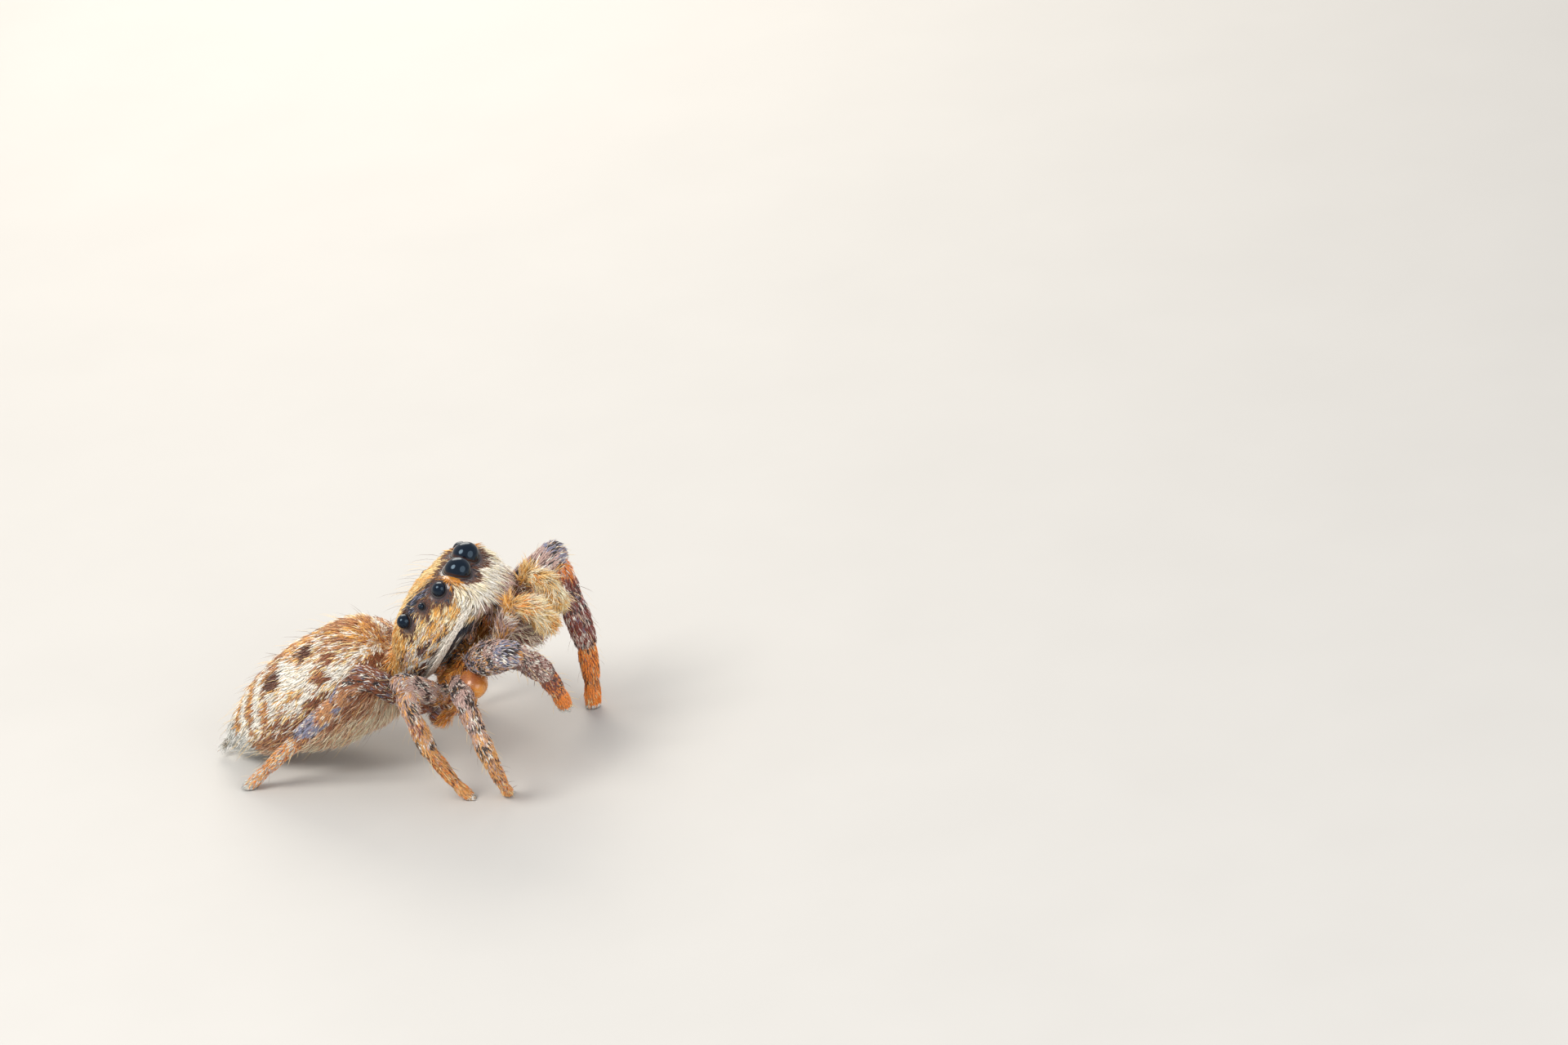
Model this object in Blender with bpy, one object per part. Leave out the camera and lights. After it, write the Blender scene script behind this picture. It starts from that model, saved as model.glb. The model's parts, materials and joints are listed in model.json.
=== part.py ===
"""A jumping spider (Salticidae, an adult female), life size, as a still museum-type model.

It stands with its front raised, its abdomen sloping down behind, its right front leg lifted and
its left front leg reaching out. It faces +X, its left side is +Y and the floor is z = 0.

Sizes below are in millimetres and degrees; MM turns them into metres where objects are made.
The carapace has a frame of its own (x forward from its rear edge, y to its left, z up from its
lower margin), and so has the abdomen (x forward from its rear end along its axis).
"""
import math

import bmesh
import bpy
from mathutils import Matrix, Vector

MM = 0.001

# Driving sizes
CARAPACE_LENGTH = 3.0
CARAPACE_HALF_WIDTH = 1.15
CARAPACE_HEIGHT = 1.5
CARAPACE_PITCH = 43.0
CARAPACE_REAR = Vector((0.27, 0.0, 1.55))
ABDOMEN_LENGTH = 4.05
ABDOMEN_HALF_WIDTH = 1.2
ABDOMEN_HALF_DEPTH = 1.1
ABDOMEN_PITCH = 29.0
ABDOMEN_REAR = Vector((-3.74, 0.0, 0.42))
SEAM = 0.05
SOCKET_GAP = 0.03
WELD_DISTANCE = 0.002

# How finely round pieces are divided
LEG_SIDES = 12
BODY_SIDES = 28
COXA_SIDES = 8

# Eyes: centre in the carapace frame on the left side, radius
EYES = {
    "anterior_median": ((2.77, 0.33, 1.11), 0.275),
    "anterior_lateral": ((2.49, 0.86, 1.19), 0.16),
    "posterior_median": ((2.02, 1.02, 1.24), 0.07),
    "posterior_lateral": ((1.47, 0.96, 1.26), 0.15),
}

# Where each leg leaves its coxa, in the carapace frame on the left side
LEG_ROOTS = {
    1: (1.82, 0.98, -0.34),
    2: (1.26, 1.04, -0.36),
    3: (0.72, 0.98, -0.36),
    4: (0.22, 0.80, -0.33),
}

# Lengths of femur, patella, tibia, metatarsus and tarsus, and the greatest radius of each
SEGMENT_LENGTHS = {
    1: (1.64, 0.86, 1.08, 0.86, 0.58),
    2: (1.22, 0.66, 0.76, 0.70, 0.50),
    3: (1.36, 0.70, 0.80, 0.82, 0.54),
    4: (1.72, 0.86, 1.25, 1.12, 0.62),
}
SEGMENT_RADII = {
    1: (0.35, 0.27, 0.27, 0.20, 0.17),
    2: (0.28, 0.24, 0.23, 0.18, 0.155),
    3: (0.28, 0.24, 0.23, 0.18, 0.155),
    4: (0.29, 0.24, 0.23, 0.185, 0.155),
}

# Pose of each leg: femur heading and elevation, place of the foot, way the shin bows. A foot at
# height zero stands on the floor.
POSE = {
    (1, "right"): ((-47.0, 27.0), (3.14, 0.25, 0.89), (0.0, -0.3, 1.0)),
    (2, "right"): ((-70.0, 8.0), (2.34, -1.76, 0.0), (0.35, -1.0, 0.0)),
    (3, "right"): ((-117.0, 37.0), (1.60, -1.92, 0.0), (-1.0, -0.7, 0.0)),
    (4, "right"): ((-140.0, 42.0), (-3.22, -1.42, 0.0), (0.0, -0.5, 1.0)),
    (1, "left"): ((51.0, 27.0), (3.22, 1.86, 0.0), (1.0, 0.3, 0.0)),
    (2, "left"): ((98.0, 12.0), (0.64, 1.68, 0.0), (0.2, 1.0, 0.3)),
    (3, "left"): ((116.0, 34.0), (0.05, 2.05, 0.0), (-0.4, 1.0, 0.4)),
    (4, "left"): ((140.0, 3.0), (-2.80, 1.68, 0.0), (0.0, 0.8, 0.6)),
}
BEND_SHARES = (0.6, 1.0, 0.5)
LARGEST_BEND = 100.0
SOLE_DEPTH = 0.02
CLAW_TUFT_RADIUS = 0.155
LEG_FLATNESS = 0.92

# Sternum plate, coxae and endites, in the carapace frame
STERNUM_CENTRE = Vector((1.10, 0.0, -0.36))
STERNUM_RADII = (0.88, 0.56, 0.24)
FRONT_COXA_RADIUS = 0.25
COXA_RADIUS = 0.22
COXA_INNER_Y = 0.34
COXA_INNER_Z = -0.40
ENDITE_ROOT = (1.75, 0.22, -0.42)
ENDITE_TIP = (2.22, 0.26, -0.56)
ENDITE_RADII = (0.20, 0.24)
UNDERSIDE_TOP = -0.06

# Jaws, in the carapace frame on the left side, and their radii at the top and the bottom
JAW_TOP = (2.60, 0.30, -0.29)
JAW_BOTTOM = (2.70, 0.27, -0.78)
JAW_RADII = (0.25, 0.20)

# Palps: base, knee, tibia end and tip in the carapace frame on the left side, then the radius at
# shares of the length of the femur, of patella with tibia, and of the tarsus
PALP_POINTS = ((2.12, 0.72, -0.50), (3.13, 0.67, -0.09), (3.34, 0.56, -0.36), (3.22, 0.40, -1.08))
PALP_PROFILE = (
    (0, 0.0, 0.12), (0, 0.15, 0.15), (0, 0.6, 0.18),
    (1, 0.0, 0.18), (1, 0.5, 0.21),
    (2, 0.0, 0.22), (2, 0.35, 0.25), (2, 0.7, 0.23), (2, 0.92, 0.15), (2, 1.0, 0.06),
)
PALP_KNEE_RING = 3

# Waist and spinnerets: the waist starts behind the carapace, the spinnerets behind the abdomen
WAIST_START = Vector((-0.02, 0.0, 0.34))
WAIST_RADIUS = 0.11
SPINNERET_ROOT_X = -0.10
SPINNERET_TIP_X = -0.30
SPINNERET_SPREAD = ((0.10, 0.06, 0.075), (0.09, -0.06, 0.07))

COLOURS = {
    "carapace": (0.62, 0.42, 0.16),
    "underside": (0.45, 0.20, 0.06),
    "abdomen": (0.50, 0.30, 0.15),
    "spinneret": (0.75, 0.66, 0.50),
    "eye": (0.01, 0.01, 0.015),
    "jaw": (0.30, 0.14, 0.06),
    "palp": (0.80, 0.56, 0.26),
    "leg": (0.50, 0.40, 0.30),
    "foot": (0.72, 0.36, 0.10),
}
EYE_ROUGHNESS = 0.08
BODY_ROUGHNESS = 0.6


# Scene and materials

def clear_scene():
    for item in list(bpy.data.objects):
        bpy.data.objects.remove(item, do_unlink=True)


def material(name):
    made = bpy.data.materials.get(name)
    if made is None:
        made = bpy.data.materials.new(name)
        made.use_nodes = True
        shader = made.node_tree.nodes["Principled BSDF"]
        shader.inputs["Base Color"].default_value = (*COLOURS[name], 1.0)
        shader.inputs["Roughness"].default_value = EYE_ROUGHNESS if name == "eye" else BODY_ROUGHNESS
        shader.inputs["Metallic"].default_value = 0.0
    return made


def add_object(name, mesh, look, parent=None, origin=Vector()):
    item = bpy.data.objects.new(name, mesh)
    spider.objects.link(item)
    item.parent = parent
    item.location = origin * MM
    mesh.materials.append(material(look))
    mesh.shade_smooth()
    mesh.set_sharp_from_angle(angle=math.radians(50))
    return item


def body_frame(name, origin, pitch):
    """An empty whose +X leans up by the pitch; the pieces it carries are placed in its frame."""
    frame = bpy.data.objects.new(name, None)
    spider.objects.link(frame)
    frame.matrix_world = Matrix.Translation(origin * MM) @ Matrix.Rotation(math.radians(-pitch), 4, "Y")
    return frame


# Mesh makers, all in millimetres

def mesh_from(builder, name, origin=Vector()):
    bmesh.ops.recalc_face_normals(builder, faces=builder.faces)
    bmesh.ops.triangulate(builder, faces=builder.faces)
    for vertex in builder.verts:
        vertex.co = (vertex.co - origin) * MM
    mesh = bpy.data.meshes.new(name)
    builder.to_mesh(mesh)
    builder.free()
    return mesh


def loft(rings, sole=False):
    """A closed skin over rings of points, with a fan on each end. A sole is pressed flat at z = 0."""
    builder = bmesh.new()
    rows = [[builder.verts.new(point) for point in ring] for ring in rings]
    count = len(rings[0])
    for low, high in zip(rows, rows[1:]):
        for side in range(count):
            after = (side + 1) % count
            builder.faces.new((low[side], low[after], high[after], high[side]))
    for row in (rows[0], rows[-1]):
        middle = builder.verts.new(sum((vertex.co for vertex in row), Vector()) / count)
        for side in range(count):
            builder.faces.new((row[side], row[(side + 1) % count], middle))
    if sole:
        for vertex in builder.verts:
            vertex.co.z = max(vertex.co.z, 0.0)
    return builder


def ball(centre, radii, segments):
    builder = bmesh.new()
    place = Matrix.Translation(centre) @ Matrix.Diagonal((*radii, 1.0))
    rows = segments * 5 // 8
    bmesh.ops.create_uvsphere(builder, u_segments=segments, v_segments=rows, radius=1.0, matrix=place)
    return builder


def capsule(start, end, first, last, sides, dome=2):
    """A tapering rod with round ends."""
    start, end = Vector(start), Vector(end)
    axis = (end - start).normalized()
    across = axis.orthogonal().normalized()
    other = axis.cross(across)
    rings = []
    for centre, radius, sign in ((start, first, -1), (end, last, 1)):
        angles = [math.radians(80) * step / dome for step in range(dome + 1)]
        for angle in (reversed(angles) if sign < 0 else angles):
            middle = centre + axis * (sign * radius * math.sin(angle))
            width = radius * math.cos(angle)
            rings.append([
                middle + width * (math.cos(turn) * across + math.sin(turn) * other)
                for turn in (2 * math.pi * side / sides for side in range(sides))
            ])
    return loft(rings)


def helper_object(builder):
    item = bpy.data.objects.new("helper", mesh_from(builder, "helper"))
    helpers.objects.link(item)
    item.hide_render = True
    item.display_type = "WIRE"
    return item


def apply_boolean(item, operation, builders):
    """Joins or cuts a piece with the given forms and applies the result."""
    cutters = [helper_object(builder) for builder in builders]
    bpy.context.view_layer.update()
    parent_frame = item.matrix_world.copy()
    for cutter in cutters:
        cutter.matrix_world = parent_frame
    change = item.modifiers.new("join", "BOOLEAN")
    change.operation = operation
    change.operand_type = "COLLECTION"
    change.collection = helpers
    change.solver = "EXACT"
    bpy.context.view_layer.update()
    result = bpy.data.meshes.new_from_object(item.evaluated_get(bpy.context.evaluated_depsgraph_get()))
    item.modifiers.remove(change)
    item.data = result
    for cutter in cutters:
        bpy.data.objects.remove(cutter, do_unlink=True)
    tidy_solid(item.data)


def tidy_solid(mesh):
    """Welds stray points and keeps the largest closed piece."""
    builder = bmesh.new()
    builder.from_mesh(mesh)
    bmesh.ops.remove_doubles(builder, verts=builder.verts, dist=WELD_DISTANCE * MM)
    bmesh.ops.dissolve_degenerate(builder, edges=builder.edges, dist=WELD_DISTANCE * MM)
    bmesh.ops.triangulate(builder, faces=builder.faces)
    unseen = set(builder.faces)
    islands = []
    while unseen:
        stack = [unseen.pop()]
        island = set(stack)
        while stack:
            for edge in stack.pop().edges:
                for face in edge.link_faces:
                    if face in unseen:
                        unseen.discard(face)
                        island.add(face)
                        stack.append(face)
        islands.append(island)
    largest = max(islands, key=lambda island: sum(face.calc_area() for face in island))
    bmesh.ops.delete(builder, geom=[face for face in builder.faces if face not in largest], context="FACES")
    builder.to_mesh(mesh)
    builder.free()


# Curves that shape the body

EASE = 0.35


def smooth_steps(value, table):
    """Reads a gently eased curve through a short table of (position, value) pairs."""
    for (start, low), (end, high) in zip(table, table[1:]):
        if value <= end:
            share = (value - start) / (end - start)
            eased = share * share * (3 - 2 * share)
            return low + (high - low) * (EASE * eased + (1 - EASE) * share)
    return table[-1][1]


def mirrored(point, side):
    """A point given on the left side, or its mirror on the right when side is -1."""
    return Vector((point[0], side * point[1], point[2]))


def oval(angle, half_width, up, down, squareness):
    """A point of a rounded box: squareness 2 is an ellipse, larger is boxier."""
    power = 2.0 / squareness
    side = math.copysign(abs(math.cos(angle)) ** power, math.cos(angle)) * half_width
    rise = math.copysign(abs(math.sin(angle)) ** power, math.sin(angle))
    return side, rise * (up if rise > 0 else down)


# Carapace, with the eyes let into it. The tables run along its length: shares of the greatest half
# width and of the height, then how boxy the section is and how far its lower margin rises.

CARAPACE_WIDTHS = ((0.0, 0.30), (0.04, 0.49), (0.12, 0.70), (0.23, 0.85), (0.37, 0.957), (0.53, 1.0),
                   (0.70, 0.99), (0.83, 0.94), (0.927, 0.85), (0.973, 0.75), (1.0, 0.61))
CARAPACE_TOPS = ((0.0, 0.35), (0.04, 0.49), (0.12, 0.65), (0.23, 0.81), (0.37, 0.93), (0.53, 1.0),
                 (0.70, 1.0), (0.83, 0.98), (0.927, 0.93), (0.973, 0.84), (1.0, 0.68))
CARAPACE_SQUARENESS = ((0.0, 2.2), (0.23, 2.3), (0.47, 2.8), (0.73, 3.2), (1.0, 3.0))
MARGIN_RISE = ((0.0, 0.107), (0.13, 0.013), (0.33, 0.0), (0.73, 0.0), (1.0, 0.08))
CARAPACE_STATIONS = (0.0, 0.02, 0.05, 0.093, 0.15, 0.233, 0.333, 0.433, 0.533, 0.633, 0.733, 0.817, 0.883,
                     0.933, 0.967, 0.987, 1.0)
WIDEST_LEVEL = 0.38
LOWER_TUCK = 0.10


def carapace_ring(share, grow=0.0):
    width = CARAPACE_HALF_WIDTH * smooth_steps(share, CARAPACE_WIDTHS)
    top = CARAPACE_HEIGHT * smooth_steps(share, CARAPACE_TOPS)
    margin = CARAPACE_HEIGHT * smooth_steps(share, MARGIN_RISE)
    squareness = smooth_steps(share, CARAPACE_SQUARENESS)
    waist = margin + WIDEST_LEVEL * (top - margin)
    above, below = top - waist + grow, waist - margin + grow
    ring = []
    for step in range(BODY_SIDES):
        side, rise = oval(2 * math.pi * step / BODY_SIDES, width + grow, above, below, squareness)
        if rise < 0:
            side *= 1.0 + LOWER_TUCK * rise / below
        ring.append(Vector((share * CARAPACE_LENGTH, side, waist + rise)))
    return ring


def build_carapace(frame):
    shell = loft([carapace_ring(share) for share in CARAPACE_STATIONS])
    carapace = add_object("carapace", mesh_from(shell, "carapace"), "carapace", frame)
    sockets = []
    for centre, radius in EYES.values():
        for side in (1, -1):
            sockets.append(ball(mirrored(centre, side), (radius + SOCKET_GAP,) * 3, eye_segments(radius)))
    apply_boolean(carapace, "DIFFERENCE", sockets)


def eye_segments(radius):
    return 18 if radius > 0.25 else 14 if radius > 0.1 else 8


def build_eyes(frame):
    for name, (centre, radius) in EYES.items():
        for side, label in ((1, "left"), (-1, "right")):
            lens = mesh_from(ball(Vector(), (radius,) * 3, eye_segments(radius)), "eye")
            add_object(f"eye_{name}_{label}", lens, "eye", frame, mirrored(centre, side))


# Underside: sternum, labium, endites and the eight coxae in one piece

def build_underside(frame):
    plate = ball(STERNUM_CENTRE, STERNUM_RADII, 14)
    underside = add_object("sternum_and_coxae", mesh_from(plate, "underside"), "underside", frame)
    pieces = []
    for number, root in LEG_ROOTS.items():
        radius = FRONT_COXA_RADIUS if number == 1 else COXA_RADIUS
        for side in (1, -1):
            end = mirrored(root, side)
            start = mirrored((0.72 * root[0] + 0.25, COXA_INNER_Y, COXA_INNER_Z), side)
            outer = end - (end - start).normalized() * (radius + 0.5 * SEAM)
            pieces.append(capsule(start, outer, radius, radius, COXA_SIDES))
    for side in (1, -1):
        root, tip = mirrored(ENDITE_ROOT, side), mirrored(ENDITE_TIP, side)
        pieces.append(capsule(root, tip, *ENDITE_RADII, COXA_SIDES))
    apply_boolean(underside, "UNION", pieces)
    slab = bmesh.new()
    place = Matrix.Translation((1.5, 0.0, UNDERSIDE_TOP + 1.0)) @ Matrix.Diagonal((6.0, 4.0, 2.0, 1.0))
    bmesh.ops.create_cube(slab, size=1.0, matrix=place)
    apply_boolean(underside, "DIFFERENCE", [slab])


def build_pedicel(frame):
    start = frame.matrix_world @ (WAIST_START * MM) / MM
    near, far = start + Vector((-0.06, 0.0, 0.0)), start + Vector((-0.20, 0.0, 0.05))
    waist = capsule(near, far, WAIST_RADIUS, WAIST_RADIUS, LEG_SIDES)
    add_object("pedicel", mesh_from(waist, "pedicel", start), "underside", None, start)


# Jaws and palps

def build_jaws(frame):
    for side, label in ((1, "left"), (-1, "right")):
        jaw = capsule(mirrored(JAW_TOP, side), mirrored(JAW_BOTTOM, side), *JAW_RADII, LEG_SIDES, 3)
        add_object(f"chelicera_{label}", mesh_from(jaw, "chelicera"), "jaw", frame)


def build_palps(frame):
    for side, label in ((1, "left"), (-1, "right")):
        points = [mirrored(point, side) for point in PALP_POINTS]
        rings = tube_rings(points, PALP_PROFILE, Vector((0, side, 0)))
        femur = slice_rings(rings, 0, PALP_KNEE_RING)
        tarsus = slice_rings(rings, PALP_KNEE_RING, len(rings) - 1)
        add_object(f"palp_{label}_femur", mesh_from(loft(femur), "palp"), "palp", frame)
        add_object(f"palp_{label}_tarsus", mesh_from(loft(tarsus), "palp"), "palp", frame)


# Legs

def direction(heading, elevation):
    around, rise = math.radians(heading), math.radians(elevation)
    return Vector((math.cos(rise) * math.cos(around), math.cos(rise) * math.sin(around), math.sin(rise)))


def bent_chain(lengths, bend):
    """Joint points in a plane, each segment turned by its share of the bend."""
    points, angle = [Vector((0.0, 0.0))], 0.0
    for length, share in zip(lengths, (*BEND_SHARES, 0.0)):
        points.append(points[-1] + Vector((math.cos(angle), -math.sin(angle))) * length)
        angle += bend * share
    return points


def shin_points(knee, foot, lengths, bow):
    """The joints from knee to foot: the bend is found that makes the chain just reach the foot."""
    reach = (foot - knee).length
    low, high = 0.0, math.radians(LARGEST_BEND)
    for _ in range(40):
        bend = (low + high) / 2
        if bent_chain(lengths, bend)[-1].length > reach:
            low = bend
        else:
            high = bend
    chain = bent_chain(lengths, (low + high) / 2)
    along = (foot - knee).normalized()
    outward = (bow - bow.dot(along) * along).normalized()
    end = chain[-1]
    tilt = math.atan2(end.y, end.x)
    points = []
    for point in chain:
        flat = Matrix.Rotation(-tilt, 2) @ point
        points.append(knee + along * flat.x + outward * flat.y)
    return points


def tube_rings(points, profile, side_hint):
    """Rings along a jointed path, each with its normal. The profile lists (segment, share of its
    length, radius). The ring on a joint halves the bend, and its neighbours keep clear of it."""
    directions = [(end - start).normalized() for start, end in zip(points, points[1:])]
    joint_radius = {segment: radius for segment, share, radius in profile if share == 0.0}
    leads = [0.0]
    for segment in range(1, len(directions)):
        half_bend = directions[segment - 1].angle(directions[segment]) / 2
        leads.append(1.3 * joint_radius[segment] * math.tan(half_bend))
    leads.append(0.0)
    rings = []
    for segment, share, radius in profile:
        start, end = points[segment], points[segment + 1]
        along = directions[segment]
        length = (end - start).length
        normal, place = along, 0.0
        if share == 0.0 and segment > 0:
            normal = (directions[segment - 1] + along).normalized()
        elif share > 0.0:
            place = leads[segment] + share * (length - leads[segment] - leads[segment + 1])
        across = (side_hint - side_hint.dot(normal) * normal).normalized()
        upward = normal.cross(across)
        centre = start + along * place
        ring = []
        for step in range(LEG_SIDES):
            turn = 2 * math.pi * step / LEG_SIDES
            ring.append(centre + radius * (LEG_FLATNESS * math.cos(turn) * across + math.sin(turn) * upward))
        rings.append((ring, normal))
    return rings


def bare(rings):
    return [ring for ring, _ in rings]


def slice_rings(rings, first, last):
    """The rings of one piece. Where it meets the next piece its end draws back by half a seam."""
    chosen = [list(ring) for ring, _ in rings[first:last + 1]]
    if first > 0:
        chosen[0] = [point + rings[first][1] * (SEAM / 2) for point in chosen[0]]
    if last < len(rings) - 1:
        chosen[-1] = [point - rings[last][1] * (SEAM / 2) for point in chosen[-1]]
    return chosen


def femur_profile(femur, length, grow=0.0):
    """A spindle from the trochanter that ends in a dome at the knee."""
    knee = 0.86 * femur
    spindle = ((0.0, 0.66 * femur), (0.14, 0.86 * femur), (0.45, femur), (0.8, 0.95 * femur), (1.0, knee))
    rows = [(0, share, radius + grow) for share, radius in spindle]
    for angle in (math.radians(35), math.radians(62), math.radians(84)):
        rows.append((0, 1.0 + (knee + grow) * math.sin(angle) / length, (knee + grow) * math.cos(angle)))
    return rows


def shin_profile(radii):
    """Swellings of patella, tibia, metatarsus and tarsus down to the claw tuft."""
    _, patella, tibia, metatarsus, tarsus = radii
    return [(0, 0.0, 0.9 * patella), (0, 0.3, patella), (0, 0.75, patella),
            (1, 0.0, 0.86 * tibia), (1, 0.1, 0.88 * tibia), (1, 0.4, tibia), (1, 0.75, 0.95 * tibia),
            (1, 1.0, 0.88 * tibia),
            (2, 0.0, metatarsus), (2, 0.35, metatarsus), (2, 0.8, 0.90 * metatarsus),
            (3, 0.0, 0.86 * tarsus), (3, 0.45, tarsus), (3, 0.8, 0.92 * tarsus),
            (3, 0.92, 0.95 * CLAW_TUFT_RADIUS), (3, 1.0, 0.70 * CLAW_TUFT_RADIUS)]


def build_leg(number, side, frame):
    femur_aim, foot, bow = POSE[(number, side)]
    root = mirrored(LEG_ROOTS[number], 1 if side == "left" else -1)
    start = frame.matrix_world @ (root * MM) / MM
    lengths, radii = SEGMENT_LENGTHS[number], SEGMENT_RADII[number]
    knee = start + direction(*femur_aim) * lengths[0]
    stands = foot[2] == 0.0
    target = Vector(foot) - Vector((0.0, 0.0, SOLE_DEPTH if stands else 0.0))
    shin = shin_points(knee, target, lengths[1:], Vector(bow))
    leg_plane = (knee - start).cross(shin[2] - knee).normalized()

    name = f"leg_{number}_{side}"
    thigh = loft(bare(tube_rings([start, knee], femur_profile(radii[0], lengths[0]), leg_plane)))
    add_object(f"{name}_femur", mesh_from(thigh, "femur", start), "leg", None, start)

    profile = shin_profile(radii)
    rings = tube_rings(shin, profile, leg_plane)
    ankle = profile.index((2, 0.0, radii[3]))
    shin_mesh = mesh_from(loft(slice_rings(rings, 0, ankle)), "patella_tibia", knee)
    upper = add_object(f"{name}_patella_tibia", shin_mesh, "leg", None, knee)
    bpy.context.view_layer.update()
    cutter = loft(bare(tube_rings([start, knee], femur_profile(radii[0], lengths[0], SEAM), leg_plane)))
    cutter.transform(Matrix.Translation(-knee))
    apply_boolean(upper, "DIFFERENCE", [cutter])

    lower = loft(slice_rings(rings, ankle, len(rings) - 1), sole=stands)
    add_object(f"{name}_tarsus", mesh_from(lower, "tarsus", shin[2]), "foot", None, shin[2])


# Abdomen and spinnerets

ABDOMEN_PROFILE = ((0.0, 0.18), (0.02, 0.29), (0.07, 0.46), (0.15, 0.62), (0.28, 0.81), (0.42, 0.95),
                   (0.55, 1.0), (0.68, 0.99), (0.80, 0.96), (0.90, 0.87), (0.96, 0.72), (0.99, 0.50),
                   (1.0, 0.30))
ABDOMEN_STATIONS = (0.0, 0.02, 0.05, 0.1, 0.17, 0.25, 0.34, 0.44, 0.54, 0.64, 0.73, 0.81, 0.88, 0.93, 0.965,
                    0.99, 1.0)
ABDOMEN_SQUARENESS = 2.15
BACK = 0.98
BELLY = ((0.0, 0.85), (0.3, 0.95), (0.6, 1.12), (0.85, 1.16), (1.0, 1.0))
PRESSED_STATIONS = 9


def build_abdomen(frame, head):
    rings = []
    for share in ABDOMEN_STATIONS:
        size = smooth_steps(share, ABDOMEN_PROFILE)
        width, depth = ABDOMEN_HALF_WIDTH * size, ABDOMEN_HALF_DEPTH * size
        belly = smooth_steps(share, BELLY) * depth
        ring = []
        for step in range(BODY_SIDES):
            side, rise = oval(2 * math.pi * step / BODY_SIDES, width, BACK * depth, belly, ABDOMEN_SQUARENESS)
            ring.append(Vector((share * ABDOMEN_LENGTH, side, rise)))
        rings.append(ring)
    abdomen = add_object("abdomen", mesh_from(loft(rings), "abdomen"), "abdomen", frame)
    press = loft([carapace_ring(share, SEAM) for share in CARAPACE_STATIONS[:PRESSED_STATIONS]])
    between_frames = frame.matrix_world.inverted() @ head.matrix_world
    between_frames.translation /= MM
    press.transform(between_frames)
    apply_boolean(abdomen, "DIFFERENCE", [press])


def build_spinnerets(frame):
    middle = capsule((-0.06, 0.0, 0.0), (-0.20, 0.0, -0.01), 0.13, 0.08, COXA_SIDES)
    cluster = add_object("spinnerets", mesh_from(middle, "spinnerets"), "spinneret", frame)
    rods = []
    for across, rise, radius in SPINNERET_SPREAD:
        for side in (1, -1):
            root = (SPINNERET_ROOT_X, side * across / 2, rise / 2)
            tip = (SPINNERET_TIP_X, side * across, rise)
            rods.append(capsule(root, tip, radius, 0.7 * radius, COXA_SIDES))
    apply_boolean(cluster, "UNION", rods)


def rest_on_origin():
    """Slides the whole animal so that the origin is at the bottom centre of its box."""
    bpy.context.view_layer.update()
    corners = [item.matrix_world @ Vector(corner) for item in spider.objects if item.type == "MESH"
               for corner in item.bound_box]
    middle = Vector((-(min(c[axis] for c in corners) + max(c[axis] for c in corners)) / 2 for axis in (0, 1)))
    for item in spider.objects:
        if item.parent is None:
            item.location.x += middle.x
            item.location.y += middle.y


clear_scene()
spider = bpy.data.collections.new("jumping_spider")
helpers = bpy.data.collections.new("helpers")
bpy.context.scene.collection.children.link(spider)
bpy.context.scene.collection.children.link(helpers)

head_frame = body_frame("carapace_frame", CARAPACE_REAR, CARAPACE_PITCH)
rear_frame = body_frame("abdomen_frame", ABDOMEN_REAR, ABDOMEN_PITCH)
bpy.context.view_layer.update()
build_carapace(head_frame)
build_eyes(head_frame)
build_underside(head_frame)
build_pedicel(head_frame)
build_jaws(head_frame)
build_palps(head_frame)
build_abdomen(rear_frame, head_frame)
build_spinnerets(rear_frame)
for leg, flank in POSE:
    build_leg(leg, flank, head_frame)
rest_on_origin()
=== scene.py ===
"""The looks of a life-size jumping spider: skin, lenses, claws, scales, hair and a plain studio.

Markings and coat are worked out in millimetres, in the same two body frames as the solids: x forward,
y to the left and z up from the carapace's or the abdomen's own origin. MM turns them into metres.
"""
import json
import math

import bmesh
import bpy
import numpy as np
from mathutils import Matrix, Vector
from mathutils.bvhtree import BVHTree

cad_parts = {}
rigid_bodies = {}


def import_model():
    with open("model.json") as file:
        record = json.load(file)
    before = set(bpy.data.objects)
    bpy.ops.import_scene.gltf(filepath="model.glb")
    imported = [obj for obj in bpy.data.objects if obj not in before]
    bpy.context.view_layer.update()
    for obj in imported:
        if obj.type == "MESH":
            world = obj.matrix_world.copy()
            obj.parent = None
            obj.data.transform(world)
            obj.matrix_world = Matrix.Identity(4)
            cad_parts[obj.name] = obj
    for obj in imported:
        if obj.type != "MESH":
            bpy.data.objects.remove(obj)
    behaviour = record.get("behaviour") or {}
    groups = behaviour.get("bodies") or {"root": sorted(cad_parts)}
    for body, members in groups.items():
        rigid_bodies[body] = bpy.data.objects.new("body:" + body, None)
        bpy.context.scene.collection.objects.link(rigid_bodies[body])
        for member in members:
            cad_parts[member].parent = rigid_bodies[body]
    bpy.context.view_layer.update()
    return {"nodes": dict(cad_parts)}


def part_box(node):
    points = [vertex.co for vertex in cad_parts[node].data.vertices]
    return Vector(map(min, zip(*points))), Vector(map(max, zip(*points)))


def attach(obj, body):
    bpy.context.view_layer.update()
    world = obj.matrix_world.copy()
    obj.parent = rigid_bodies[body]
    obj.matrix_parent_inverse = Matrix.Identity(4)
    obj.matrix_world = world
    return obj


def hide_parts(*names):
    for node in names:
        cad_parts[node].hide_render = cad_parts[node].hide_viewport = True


bl_info = {
    "name": "Jumping spider",
    "version": (1, 0, 0),
    "blender": (4, 5, 0),
    "location": "View3D > Sidebar > Spider",
    "description": "Skin, eyes, claws and coat of a life-size jumping spider in a plain studio",
    "category": "Object",
}

MM = 0.001
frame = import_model()

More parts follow.
